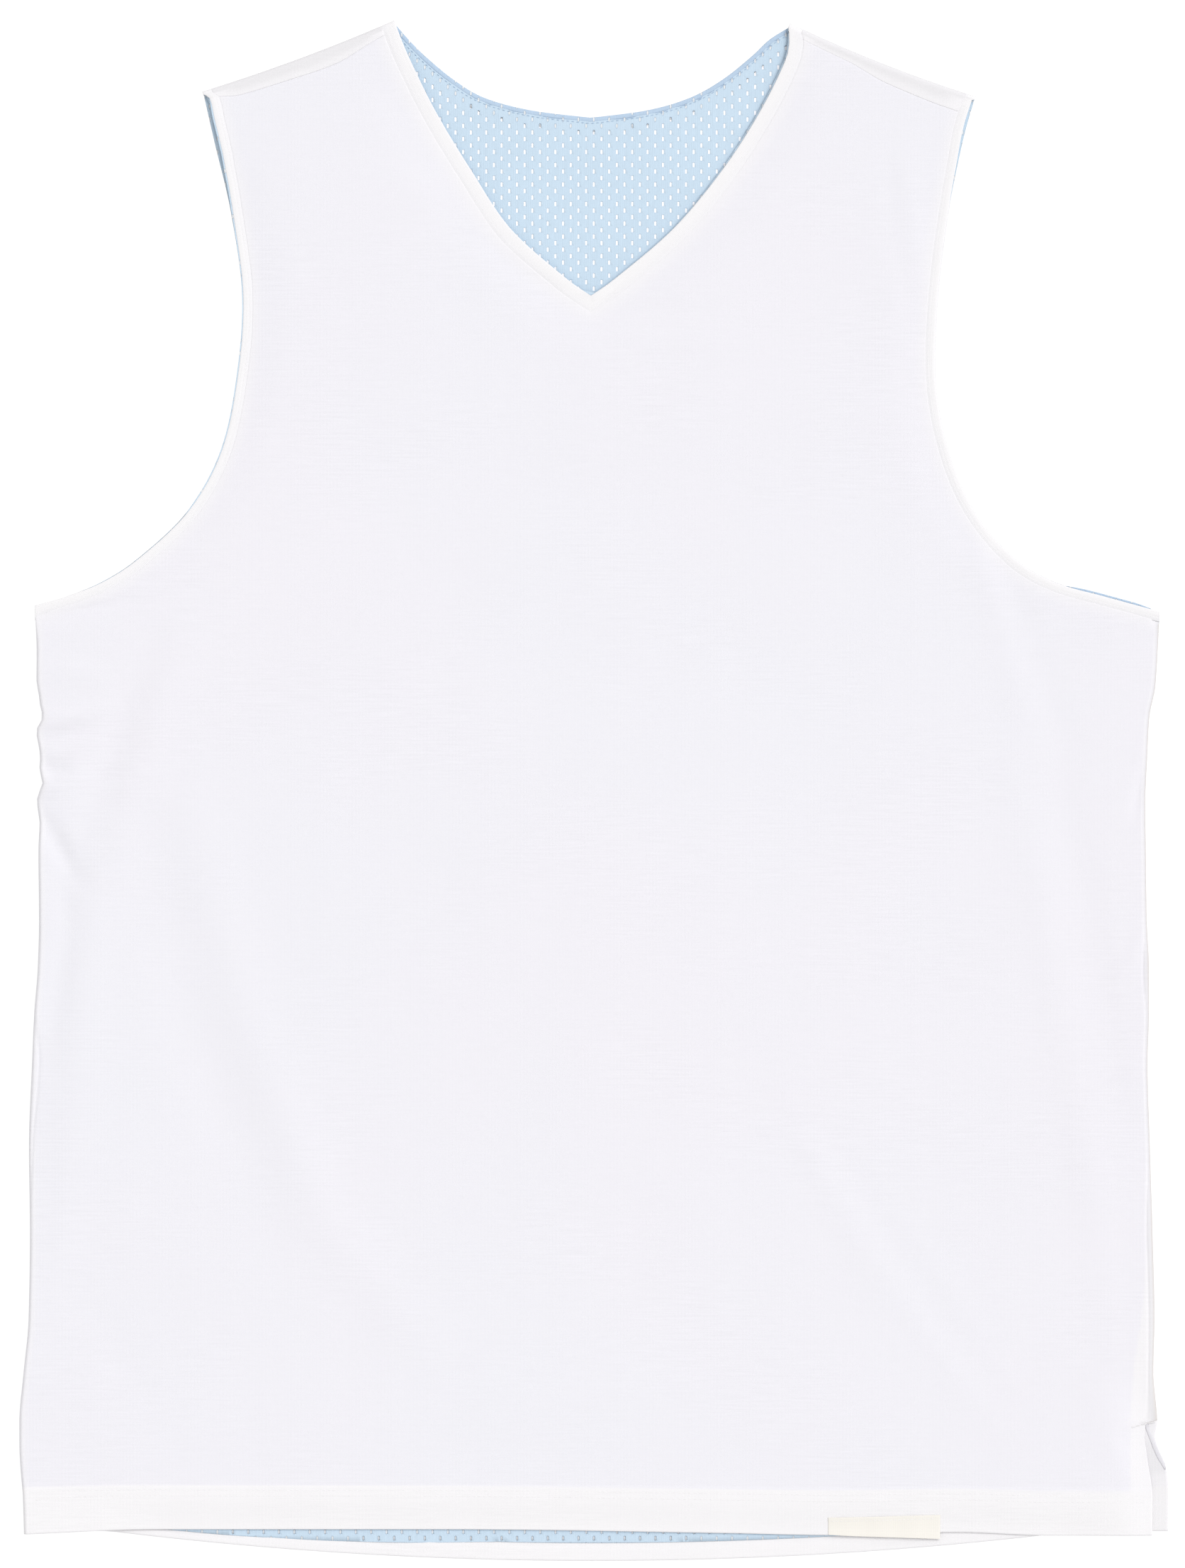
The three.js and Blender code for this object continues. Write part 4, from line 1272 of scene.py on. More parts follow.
    def back(self) -> Object:
        """Makes the back, from its seams on the front, over the shoulders, to the hem."""
        cloth = Cloth()
        wraps = len(self.laps)
        lead = wraps + self.turns
        for side in Side:
            fold = PATTERN.shoulders[side]
            rows = self.rows(BACK, side, BACK_HEM)
            points = self.points(rows)
            seam_out = PATTERN.armhole[FRONT, side][1].inside(ARMHOLE_BAND - PATTERN.LAP)
            seam_in = PATTERN.neck[FRONT, side][1].inside(NECK_BAND - PATTERN.LAP)
            seam = Row(seam_out, seam_in, True)
            seam_points = self.points([seam])[0]
            length = (seam_in - seam_out).length
            shares = [away / length for away in self.columns.distances(length)]

            def cell(column: int, index: int) -> Cell:
                """Cell at a column of a row, the first rows lying on the front."""
                if index >= lead:
                    point = points[index - lead][column]
                    from_outer = (point - points[index - lead][0]).length
                    return self.back_cell(point, rows[index - lead], from_outer)
                if index >= wraps:
                    return self.fold_cells(fold, shares[column], (index - wraps) / self.turns)
                start = self.fold_cells(fold, shares[column], 0.0)
                point = seam_points[column]
                neck_gap, arm_gap = PATTERN.gaps(FRONT, point)
                top = PATTERN.front_top(point) - self.dip(min(neck_gap, arm_gap))
                spot = PATTERN.settle(FRONT, point)
                share = self.laps[index]
                edge = draw_in(share * 6, 0.24) + 0.02 * (1 - ease(share, 0, 0.5))
                outer = in_place(spot, top).lerp(start.outer, share) + Vector((0, 0, -edge * MM))
                inner = in_place(spot, top - PATTERN.CLOTH).lerp(start.inner, share)
                ends = min(shares[column], 1 - shares[column]) * length
                # Painted shade on the back's lap over the front, growing from the seam towards the fold and
                # fading near the seam's ends
                return Cell(outer, inner, 0.8, (0.25 + 0.75 * ease(share, 0.2, 0.8)) * ease(ends, 2, 14))

            cloth.add_grid(self.columns.count, lead + len(points), cell)
        cloth.close()
        cloth.thicken()
        return cloth.finish("back_body_cloth", self.looks.jersey)


# A cross-section of a band: gives the place of a point across it, at a height above the cloth
Rail = Callable[[float, float], Vector]


@dataclass
class Bands:
    """The bands of the neck and the armholes, with their topstitching."""

    looks: Looks
    turns: int = 10
    raise_height: float = 0.22
    stitch_in: float = 1.5
    end_share: float = 0.06

    def front_rail(self, station: Station) -> Rail:
        """Cross-section on the front."""
        def spot(across: float, height: float) -> Vector:
            """Place on the front."""
            point = station.inside(across)
            return in_place(PATTERN.settle(FRONT, point), PATTERN.front_top(point) + height)

        return spot

    def back_rail(self, station: Station) -> Rail:
        """Cross-section on the back, which lies on the floor, so that nothing stands out under it."""
        def spot(across: float, height: float) -> Vector:
            """Place on the back."""
            return in_place(PATTERN.settle(BACK, station.inside(across)), max(0.0, -height))

        return spot

    def fold_rails(self, fold: Shoulder, start: Vector, way: Vector) -> list[Rail]:
        """Cross-sections round a shoulder fold, from its top to its bottom."""
        rails = []
        for step in range(1, self.turns):

            def spot(across: float, height: float, turn: float = step / self.turns) -> Vector:
                """Place round the fold, where the band's raise fades out below the middle."""
                rise = height * max(0.0, math.cos(math.pi * turn)) if height > 0 else height
                centre = PATTERN.settle(BACK, start + way * across) + fold.inward * FOLD_RADIUS
                return fold.round_place(centre, FOLD_RADIUS + rise, turn)

            rails.append(spot)
        return rails

    def section(self, width: float) -> list[tuple[float, float]]:
        """Outline of a band across its width: a turned edge, a flat top and a stitched ditch."""
        top = self.raise_height
        ditch = 0.05 if width > 6 else 0.12
        return [(0.5, -0.72), (0.18, -0.62), (0.03, -0.4), (0, -0.14), (0.08, 0.04), (0.3, 0.16),
                (0.8, top), (width * 0.3, top + 0.03), (width * 0.5, top + 0.02), (width - 2.3, top - 0.03),
                (width - 1.6, top - 0.07), (width - 1.0, top - 0.1), (width - 0.4, 0.06 - ditch),
                (width, -ditch), (width + 0.5, -0.1 - ditch), (width + 0.4, -0.36), (width - 0.5, -0.45),
                (width - 1.2, -0.6), (width - 1.8, -0.7), (0.5, -0.72)]

    def tube(self, name: str, rails: Sequence[Rail], width: float) -> Object:
        """Makes a band along its cross-sections.

        Args:
            name: name of the piece.
            rails: its cross-sections, the first and last the same on a closed loop.
            width: its width.

        Returns:
            The band.
        """
        outline = self.section(width)
        cloth = Cloth()
        middles = [rail(width / 2, 0) for rail in rails]
        run = running((b - a).length / MM for a, b in zip(middles, middles[1:]))
        girth = running(math.dist(a, b) for a, b in zip(outline, outline[1:]))

        def cell(column: int, row: int) -> Cell:
            """Cell on the outline of a cross-section."""
            place = rails[row](*outline[column])
            return Cell(place, place, 1 - 0.35 * ease(outline[column][0] / width, 0.35, 0.95))

        cloth.add_grid(len(outline), len(rails), cell)
        for face in cloth.mesh.faces:
            for loop in face.loops:
                column, row = loop[cloth.along].uv
                loop[cloth.along].uv = (run[round(row)], girth[round(column)])
        cloth.close(0.01)
        open_edges = [edge for edge in cloth.mesh.edges if edge.is_boundary]
        if open_edges:
            bmesh.ops.holes_fill(cloth.mesh, edges=open_edges, sides=0)
        return cloth.finish(name, self.looks.band)

    def neck_rails(self) -> list[Rail]:
        """Cross-sections of the neck band, from the low point of the V round and back to it."""
        rails = []
        for side, forward in ((LEFT, True), (RIGHT, False)):
            fold = PATTERN.shoulders[side]
            front = [self.front_rail(station) for station in PATTERN.neck[FRONT, side]]
            back = [self.back_rail(station) for station in PATTERN.neck[BACK, side]]
            run = [*reversed(front), *self.fold_rails(fold, fold.neck, fold.along), *back]
            rails += run[:-1] if forward else list(reversed(run))
        return rails

    def crisp(self, stations: Sequence[Station]) -> list[Station]:
        """Stations with one more close to the last, so that the band's end is crisp."""
        last = stations[-1]
        near = Station(last.point.lerp(stations[-2].point, self.end_share), last.into, last.reach)
        return [*stations[:-1], near, last]

    def armhole_rails(self, side: Side) -> list[Rail]:
        """Cross-sections of an armhole band, up the front and down the back."""
        fold = PATTERN.shoulders[side]
        front = [self.front_rail(station) for station in self.crisp(PATTERN.armhole[FRONT, side])]
        back = [self.back_rail(station) for station in self.crisp(PATTERN.armhole[BACK, side])]
        return [*reversed(front), *self.fold_rails(fold, fold.tip, -fold.along), *back]

    def build(self) -> dict[str, Object]:
        """Makes the three bands."""
        made = {"neck_band": self.tube("neck_band_cloth", self.neck_rails(), NECK_BAND)}
        for side in Side:
            name = f"{side.name.lower()}_armhole_band"
            made[name] = self.tube(f"{name}_cloth", self.armhole_rails(side), ARMHOLE_BAND)
        return made

    def seams(self) -> list["Seam"]:
        """Topstitching of the bands."""
        rows = [(self.neck_rails(), NECK_BAND - self.stitch_in)]
        rows += [(self.armhole_rails(side), ARMHOLE_BAND - self.stitch_in) for side in Side]
        made = []
        for rails, across in rows:
            path = []
            for rail in rails:
                place = rail(across, self.raise_height - 0.12)
                away = rail(across, -0.2) - rail(across, -1.2)
                path.append((place, away.normalized()))
            made.append(Seam(path))
        return made


@dataclass
class Seam:
    """A row of stitches along a path of places and the ways out of the cloth there."""

    path: Sequence[tuple[Vector, Vector]]
    stitch: float = 2.3
    gap: float = 0.5
    thread: float = 0.3
    batch: int = 24

    def sew(self, mesh: BMesh) -> int:
        """Adds the stitches to a mesh.

        Args:
            mesh: the mesh to add to.

        Returns:
            How many stitches there are.
        """
        lengths = running((b[0] - a[0]).length / MM for a, b in zip(self.path, self.path[1:]))
        pitch = self.stitch + self.gap
        count = int(lengths[-1] / pitch)
        batch = bpy.data.meshes.new("batch")
        for first in range(0, count, self.batch):
            few = bmesh.new()
            for number in range(first, min(first + self.batch, count)):
                start = number * pitch + self.gap / 2
                self.add_stitch(few, self.at(lengths, start), self.at(lengths, start + self.stitch))
            few.to_mesh(batch)
            few.free()
            mesh.from_mesh(batch)
        bpy.data.meshes.remove(batch)
        return count

    def add_stitch(self, mesh: BMesh, first: tuple[Vector, Vector], last: tuple[Vector, Vector]
                   ) -> None:
        """Adds one stitch between two places, each with its way out of the cloth."""
        way = (last[0] - first[0]).normalized()
        out = (first[1] + last[1]).normalized()
        across = out.cross(way).normalized()
        out = way.cross(across)
        size = self.thread * MM
        turned = Matrix((across * size, out * size * 0.7, last[0] - first[0])).transposed()
        placed = Matrix.Translation((first[0] + last[0]) / 2) @ turned.to_4x4()
        bmesh.ops.create_uvsphere(mesh, u_segments=6, v_segments=4, radius=0.5, matrix=placed)

    def at(self, lengths: Sequence[float], length: float) -> tuple[Vector, Vector]:
        """Place and way out at a length along the path."""
        index = min(max(bisect_right(lengths, length) - 1, 0), len(lengths) - 2)
        share = (length - lengths[index]) / max(lengths[index + 1] - lengths[index], 1e-9)
        a, b = self.path[index], self.path[index + 1]
        return a[0].lerp(b[0], share), a[1].lerp(b[1], share)


@dataclass
class Linings:
    """The two linings of light blue mesh, and the turned cloth that lies under their edges."""

    looks: Looks
    back_under: float = 1.3
    back_cloth: float = 0.15
    front_under: float = 2.75
    front_cloth: float = 0.4
    front_side_in: float = 14.0
    back_side_in: float = 14.6
    below_arm: float = 20.0
    edge_step: float = 4.0
    armpit_in: float = 24.0
    hem_steps: int = 60
    first_column: int = -76
    columns: int = 153
    first_row: int = -34
    rows: int = 240
    net_low: float = 152
    net_margin: float = 9
    net_edge: float = 6.7
    strip: tuple[float, float] = (-230, 130)
    strip_top: float = 768
    merge: float = 0.25
    hole_inset: float = 0.4
    hole_bevel: float = 0.32
    hole_area: float = 3.2
    facing_low: float = 1.0

    def outline(self, panel: Panel) -> tuple[list[Vector], list[Vector]]:
        """Outline of a lining, and the corners that it has to keep."""
        left, right = (self.half_outline(panel, side) for side in Side)
        return [*left[0], *reversed(right[0])], [*left[1], *right[1]]

    def half_outline(self, panel: Panel, side: Side) -> tuple[list[Vector], list[Vector]]:
        """Outline of one half of a lining, from the middle of the neck round to the middle of the hem.

        Args:
            panel: the front or the back.
            side: the left or the right.

        Returns:
            The points of the outline, and its corners.
        """
        front = panel is FRONT
        sign = side.value
        neck_curve, arm_curve = PATTERN.curves[panel, side]
        neck_in = Profile(LINING_NECK_IN.get((panel, side), EVEN_INSET))
        arm_in = Profile(LINING_ARM_IN.get((panel, side), EVEN_INSET))
        neck = [self.offset(neck_curve, at, sign, neck_in) for at in self.steps(neck_curve)]
        arm = [self.offset(arm_curve, at, -sign, arm_in) for at in self.steps(arm_curve)]
        limit = PATTERN.side_edge(panel, side, ARMPIT) - sign * self.armpit_in
        arm = [point for point in arm if sign * point.x < sign * limit]
        corner = plan(limit, -arm[-1].y + 2.5)
        bottom = FRONT_LINING_END if front else BACK_HEM
        inset = self.front_side_in if front else self.back_side_in
        start = ARMPIT + self.below_arm
        count = int((bottom - start - self.edge_step) / self.edge_step)
        downs = [start + step * self.edge_step for step in range(count)]
        edge = [plan(PATTERN.side_edge(panel, side, down) - sign * inset, down) for down in downs]
        shift = PATTERN.shoulders[side].inward * 0.6
        neck[0], arm[0] = neck[0] + shift, arm[0] + shift
        hem = []
        for step in range(self.hem_steps + 1):
            x = edge[-1].x + (CENTRE_X - edge[-1].x) * step / self.hem_steps
            hem.append(plan(x, bottom if front else bottom - PATTERN.lining_rise(x)))
        run = [PATTERN.settle(panel, point) for point in (*reversed(neck), *arm, corner, *edge, *hem)]
        end = len(neck) + len(arm)
        return run, [run[len(neck) - 1], run[len(neck)], run[end], run[end + 1 + len(edge)]]

    def steps(self, curve: Curve) -> list[float]:
        """Even steps down an edge."""
        count = round(curve.length / 1.5)
        return [curve.length * step / count for step in range(count + 1)]

    def offset(self, curve: Curve, at: float, hand: int, inset: Profile) -> Vector:
        """Point a little inside an edge, by an amount that depends on how far down it is."""
        point, way = curve.at(at)
        return point + left_hand(way) * hand * inset(-point.y)

    def holed(self, panel: Panel, x: float, down: float) -> bool:
        """Whether the net is cut open at a place, because it can be seen there."""
        if panel is FRONT:
            return False
        gap = PATTERN.gaps(BACK, plan(x, down))[0]
        left, right = (PATTERN.vee[side](down) for side in Side)
        beside = left - self.net_margin < x < right + self.net_margin
        in_neck = down < self.net_low and beside and gap + NECK_BAND > self.net_edge
        bottom = PATTERN.hem_down(BACK, x) - PATTERN.lining_rise(x)
        return in_neck or (self.strip[0] < x < self.strip[1] and self.strip_top < down < bottom - 1.2)

    def height(self, panel: Panel, point: Vector) -> float:
        """Height of the lower face of a lining."""
        neck_gap, arm_gap = PATTERN.gaps(panel, point)
        edge = min(neck_gap + NECK_BAND, arm_gap + ARMHOLE_BAND)
        if panel is BACK:
            return self.back_under - 0.03 - 0.47 * (1 - ease(edge, 0.3, 4))
        hem = ease(-point.y, 745, 760)
        rise = PATTERN.swell(point) * 0.5 * (1 - hem) + 0.85 * (1 - ease(edge, 0.6, 3))
        return self.front_under + rise - 0.8 * PATTERN.sag(point) * (1 - hem)

    def build(self, panel: Panel) -> Object:
        """Makes a lining from a lattice whose cells are those of the net.

        Args:
            panel: the front or the back.

        Returns:
            The lining.
        """
        cloth = Cloth()
        mesh = cloth.mesh
        outline, corners = self.outline(panel)
        loop = [*outline, outline[0]]
        inside = self.lay_net(mesh, loop)
        outside = [face for face in mesh.faces if not any(vertex in inside for vertex in face.verts)]
        bmesh.ops.delete(mesh, geom=outside, context="FACES")
        edge = self.fit_edge(mesh, loop, corners, inside)
        self.cut_holes(panel, mesh, edge)
        bmesh.ops.remove_doubles(mesh, verts=mesh.verts, dist=self.merge)
        bmesh.ops.dissolve_degenerate(mesh, edges=mesh.edges, dist=self.merge / 5)
        thickness = self.front_cloth if panel is FRONT else self.back_cloth
        for vertex in mesh.verts:
            point = vertex.co.xy
            vertex.co = in_place(point, self.height(panel, point) + thickness)
            vertex[cloth.inward] = Vector((0, 0, -thickness * MM))
        cloth.thicken()
        return cloth.finish(f"{panel.value}_lining_mesh", self.looks.mesh)

    def lay_net(self, mesh: BMesh, loop: Sequence[Vector]) -> set[BMVert]:
        """Lays the lattice, in millimetres on the plan.

        Args:
            mesh: an empty mesh.
            loop: the closed outline of the lining.

        Returns:
            The lattice's points inside the outline.
        """
        made = bmesh.ops.create_grid(mesh, x_segments=self.columns, y_segments=self.rows, size=0.5)
        crossings = {}
        inside = set()
        for vertex in made["verts"]:
            column = round((vertex.co.x + 0.5) * self.columns)
            row = round((vertex.co.y + 0.5) * self.rows)
            x = (self.first_column + column - 0.5) * LATTICE.pitch_x
            y = -(LATTICE.first_down + (self.first_row + row - 0.5) * LATTICE.pitch_down)
            if row not in crossings:
                crossings[row] = sorted(
                    a.x + (b.x - a.x) * (y - a.y) / (b.y - a.y)
                    for a, b in zip(loop, loop[1:]) if (a.y > y) != (b.y > y))
            if bisect_right(crossings[row], x) % 2:
                inside.add(vertex)
            vertex.co = (x, y, 0)
        return inside

    def fit_edge(self, mesh: BMesh, loop: Sequence[Vector], corners: Sequence[Vector],
                 inside: set[BMVert]) -> set[BMVert]:
        """Moves the lattice's outer points to the outline.

        Args:
            mesh: the lattice, without the cells that lie outside.
            loop: the closed outline of the lining.
            corners: points of the outline that the lattice has to keep.
            inside: the lattice's points inside the outline.

        Returns:
            The points on the outline.
        """
        tree = tree_of([a.lerp(b, step / 6) for a, b in zip(loop, loop[1:]) for step in range(6)])
        edge = [vertex for vertex in mesh.verts if vertex not in inside]
        for vertex in edge:
            vertex.co = tree.find(vertex.co)[0]
        for corner in corners:
            nearest = min(edge, key=lambda vertex: (vertex.co.xy - corner).length)
            nearest.co = (corner.x, corner.y, 0)
        mesh.normal_update()
        # A cell of the lattice faces down, so one that faces up was turned over at the outline
        turned = [face for face in mesh.faces if face.normal.z > -0.5]
        bmesh.ops.delete(mesh, geom=turned, context="FACES")
        return {vertex for vertex in edge if vertex.is_valid}

    def cut_holes(self, panel: Panel, mesh: BMesh, edge: set) -> None:
        """Cuts a long hole in every second cell of the net, where it shows.

        Args:
            panel: the front or the back.
            mesh: the lattice, in millimetres on the plan.
            edge: its points on the outline.
        """
        cells = []
        for face in mesh.faces:
            centre = face.calc_center_bounds()
            column = round(centre.x / LATTICE.pitch_x)
            row = round((-centre.y - LATTICE.first_down) / LATTICE.pitch_down)
            whole = len(face.verts) == 4 and not any(vertex in edge for vertex in face.verts)
            if (column + row) % 2 == 0 and whole and self.holed(panel, centre.x, -centre.y):
                cells.append(face)
        if not cells:
            return
        bmesh.ops.inset_individual(mesh, faces=cells, thickness=self.hole_inset)
        corners = []
        for face in cells:
            centre = face.calc_center_bounds()
            for vertex in face.verts:
                away = vertex.co - centre
                vertex.co.x = centre.x + math.copysign(LATTICE.hole_width / 2, away.x)
                vertex.co.y = centre.y + math.copysign(LATTICE.hole_height / 2, away.y)
                corners.append(vertex)
        bmesh.ops.bevel(mesh, geom=corners, affect="VERTICES", offset=self.hole_bevel, segments=1,
                        profile=0.5, material=-1)
        # A hole is a cell whose four corners were cut off
        holes = [face for face in mesh.faces if len(face.verts) == 8 and face.calc_area() < self.hole_area]
        bmesh.ops.delete(mesh, geom=holes, context="FACES")

    def fold_lining(self) -> Object:
        """Makes the lining inside the shoulder folds, where it can be seen at their ends."""
        cloth = Cloth()
        reach, radius = 9.0, 1.66
        across_steps, turns = 5, 10
        for fold in PATTERN.shoulders.values():
            for start, way in ((fold.neck, fold.along), (fold.tip, -fold.along)):

                def cell(column: int, row: int, fold: Shoulder = fold, start: Vector = start,
                         way: Vector = way) -> Cell:
                    """Cell at a distance from the end of a fold, and a turn round it."""
                    across = start + way * (0.15 + reach * column / across_steps)
                    centre = PATTERN.settle(BACK, across) + fold.inward * (FOLD_RADIUS + 0.05)
                    return Cell(fold.round_place(centre, radius, row / turns),
                                fold.round_place(centre, radius - self.back_cloth, row / turns))

                cloth.add_grid(across_steps + 1, turns + 1, cell)
        cloth.thicken()
        return cloth.finish("fold_lining", self.looks.mesh)

    def ribbon(self, name: str, edges: Sequence[tuple[Vector, Vector]], low: float) -> Object:
        """Makes a strip of turned cloth that lies under a lining.

        Args:
            name: name of the piece.
            edges: points on its two long edges.
            low: height of its lower face.

        Returns:
            The strip.
        """
        across_steps = 3

        def cell(column: int, row: int) -> Cell:
            """Cell across the strip."""
            point = PATTERN.settle(BACK, edges[row][0].lerp(edges[row][1], column / across_steps))
            return Cell(in_place(point, low + 0.2), in_place(point, low))

        return make_strip(name, (across_steps + 1, len(edges)), cell, self.looks.facing)

    def piping(self, around: Sequence[Station]) -> Object:
        """Makes the thin roll along the back neck edge."""
        section = ((0.12, 0), (0.2, 0.14), (0.5, 0.24), (1.1, 0.28), (1.7, 0.24), (2.1, 0.12), (2.25, 0))

        def cell(column: int, row: int) -> Cell:
            """Cell across the roll."""
            across, rise = section[column]
            point = PATTERN.settle(BACK, around[row].inside(across))
            low = self.height(BACK, point) + self.back_cloth * 0.8
            return Cell(in_place(point, low + rise + 0.02), in_place(point, low))

        return make_strip("neck_piping", (len(section), len(around)), cell, self.looks.piping)

    def arm_roll(self, name: str, side: Side, downs: tuple[float, float], reach: float) -> Object:
        """Makes the rolled edge of the lining where it stands out beside an armhole band.

        Args:
            name: name of the piece.
            side: the side it is on.
            downs: how far down it starts and ends.
            reach: how far it stands out.

        Returns:
            The roll.
        """
        section = ((-0.4, -0.5), (0.13, -0.42), (0.54, -0.3), (0.85, -0.36), (1, -0.55), (0.9, -0.8))
        stations = [station for station in PATTERN.armhole[FRONT, side]
                    if downs[0] < -station.point.y < downs[1]]
        left = side is LEFT
        # The right roll takes the darker piping colour as painted shade
        look = self.looks.mesh if left else self.looks.piping

        def cell(column: int, row: int) -> Cell:
            """Cell across the roll."""
            across, rise = section[column]
            station = stations[row]
            slim = 1 - 0.35 * ease(-station.point.y, 84, 130) if left else 1.0
            ends = ease(min(row, len(stations) - 1 - row), -1, 2)
            spot = PATTERN.settle(FRONT, station.inside(-across * slim * reach * ends))
            top = PATTERN.front_top(station.inside(0.3)) + rise + (0.35 if left else -0.7)
            return Cell(in_place(spot, top), in_place(spot, top - 0.16))

        return make_strip(name, (len(section), len(stations)), cell, look)

    def facings(self) -> list[Object]:
        """Makes the turned cloth under the back neck edge and inside the back hem."""
        around = PATTERN.back_neck
        neck = [(station.inside(0.8), station.inside(7.6)) for station in around]
        hem = []
        steps, start, width = 80, -232, 364
        for step in range(steps + 1):
            x = start + width * step / steps
            line = BACK_HEM - PATTERN.lining_rise(x)
            hem.append((plan(x, line - 11), plan(x, line - 0.4)))
        return [self.ribbon("neck_facing", neck, self.facing_low),
                self.ribbon("hem_facing", hem, self.facing_low),
                self.piping(around), self.fold_lining(),
                self.arm_roll("left_arm_lining_roll", LEFT, (40.5, 260), 0.78),
                self.arm_roll("right_arm_lining_roll", RIGHT, (293.5, 306.8), 1.1)]


@dataclass
class Trims:
    """The label, the vent's folded edge, the bar tack and the rows of stitches."""

    looks: Looks
    left: float = 121.5
    right: float = 180.0
    top: float = 775.8
    bottom: float = 787.2
    gap: float = 0.06
    wall: float = 0.42
    hem_bend: float = 786.5
    tack_points: int = 34
    tack_x: float = 279.4
    tack_down: float = 730.4
    tack_width: float = 12.2
    tack_rise: float = 2.9
    tack_lowest: float = 727.4
    label_stitches_down: float = 1.9

    def label_height(self, x: float, down: float) -> float:
        """Height of the label's lower face."""
        hem = PATTERN.front_top(plan(x, min(down, FRONT_HEM))) + HEM_RAISE + self.gap
        ends = min(x - self.left, self.right - x)
        return hem + 0.12 * ease(ends, 0, 2.5) + 0.1 * math.sin(x * 0.35) * ease(ends, 0, 8)

    def label(self) -> Object:
        """Makes the woven label, whose ends are turned under."""
        across = [0, 0.06, 0.18, 0.4, 0.8, 1.4, 2.2, 3.2]
        margin, steps = across[-1], 24
        width, height = self.right - self.left, self.bottom - self.top
        columns = [*across, *(margin + (width - 2 * margin) * step / steps for step in range(1, steps)),
                   *(width - away for away in reversed(across))]
        rows = [0, 0.06, 0.18, 0.4, 0.8, 1.3, 1.9, 3, 4.5, 6, 7.5, 9, 10.2, 10.9, 11.2, 11.34, 11.4]

        def cell(column: int, row: int) -> Cell:
            """Cell of the label."""
            x, down = self.left + columns[column], self.top + rows[row] * height / rows[-1]
            lean = 0.3 * (1 - 2 * columns[column] / width) * (row / len(rows))
            low = self.label_height(x, down)
            edge = min(columns[column], width - columns[column], rows[row], rows[-1] - rows[row])
            draw = draw_in(edge, self.wall)
            border = 0.07 * (1 - ease(abs(edge - 0.9), 0.1, 0.5))
            spot = PATTERN.settle(FRONT, plan(x + lean, min(down, self.hem_bend)))
            slant = (3.6 * columns[column] / width - 2.4) * rows[row] / rows[-1]
            spot.y -= max(0.0, down - self.hem_bend) + slant
            return Cell(in_place(spot, low + self.wall - draw + border), in_place(spot, low + draw))

        return make_strip("hem_label_tape", (len(columns), len(rows)), cell, self.looks.label)

    def flat_seam(self, points: Sequence[tuple[float, float]], panel: Panel, height: float,
                  **sizes: float) -> Seam:
        """A row of stitches on a panel.

        Args:
            points: x and down of points on the row.
            panel: the panel it is sewn on.
            height: height of the thread above the outer face, or above the floor on the back.
            sizes: sizes of the stitches.

        Returns:
            The row.
        """
        path = []
        for a, b in zip(points, points[1:]):
            steps = max(1, round(math.dist(a, b) / 6))
            for step in range(steps + 1):
                point = Vector(a).lerp(Vector(b), step / steps)
                flat = plan(point.x, point.y)
                front = panel is FRONT
                z = PATTERN.front_top(flat) + height if front else height
                out = Vector((0, 0, 1 if front else -1))
                path.append((in_place(PATTERN.settle(panel, flat), z), out))
        return Seam(path, **sizes)

    def white_seams(self) -> list[Seam]:
        """Rows of white thread."""
        ends = (-295.5, 287.5)
        rows = [
            self.flat_seam(((ends[0], 763.4), (ends[1], 765)), FRONT, HEM_RAISE),
            self.flat_seam(((ends[0], 766.6), (ends[1], 768.2)), FRONT, HEM_RAISE),
            self.flat_seam(((ends[0] - 1, 763.8), (295, 763.8)), BACK, 0.03),
            self.flat_seam(((ends[0] - 1, 767), (295, 767)), BACK, 0.03),
            self.flat_seam(((-296.4, 767.4), (-285, 767.4)), FRONT, HEM_RAISE, stitch=1.6, gap=0.1,
                           thread=0.45),
        ]
        label = []
        steps, margin = 30, 1.6
        down = self.top + self.label_stitches_down
        for step in range(steps + 1):
            x = self.left + margin + (self.right - self.left - 2 * margin) * step / steps
            spot = PATTERN.settle(FRONT, plan(x, down))
            label.append((in_place(spot, self.label_height(x, down) + self.wall), Vector((0, 0, 1))))
        rows.append(Seam(label, stitch=1.7, gap=0.45, thread=0.26))
        return rows

    def bar_tack(self) -> Seam:
        """The close zigzag that ends the vent's seam."""
        path = []
        for step in range(self.tack_points):
            share = step / (self.tack_points - 1)
            x = self.tack_x + self.tack_width * share
            middle = self.tack_down - self.tack_rise * share
            down = middle + (0.5 if step % 2 else -0.5)
            z = PATTERN.front_top(plan(x, min(middle, self.tack_lowest))) + 0.15
            path.append((in_place(plan(x, down), z), Vector((0, 0, 1))))
        return Seam(path, stitch=1.1, gap=0.0, thread=0.5)

    def neck_dashes(self) -> Seam:
        """The stitches along the inside of the back neck."""
        path = []
        for station in PATTERN.back_neck:
            point = station.inside(3.1)
            path.append((in_place(PATTERN.settle(BACK, point), 1.53), Vector((0, 0, 1))))
        return Seam(path, stitch=1.5, gap=1.1, thread=0.34)

    def vent_fold(self) -> Object:
        """Makes the turned edge that runs slantwise over the open flap of the vent."""
        line = (((285.9, 728.6), (288.0, 728.2)), ((287.0, 732.5), (289.0, 732.3)),
                ((288.7, 737), (290.7, 736.5)), ((290.6, 742), (292.9, 741.6)),
                ((292.6, 746.4), (295.0, 745.8)), ((294.8, 750), (296.6, 749.4)),
                ((296.4, 752.6), (297.2, 752.2)))
        count = 10

        def cell(column: int, row: int) -> Cell:
            """Cell across the fold, which is crowned."""
            share = column / count
            (x, down), (end_x, end_down) = line[row]
            point = plan(x + (end_x - x) * share, down + (end_down - down) * share)
            crown = 0.3 * math.sqrt(max(0.0, 1 - (2 * share - 1) ** 2)) + 0.12
            # The strip is painted darker as shade, in the lavender colour
            return Cell(in_place(point, 1.75 + crown), in_place(point, 1.6), 0.1, 1.1)

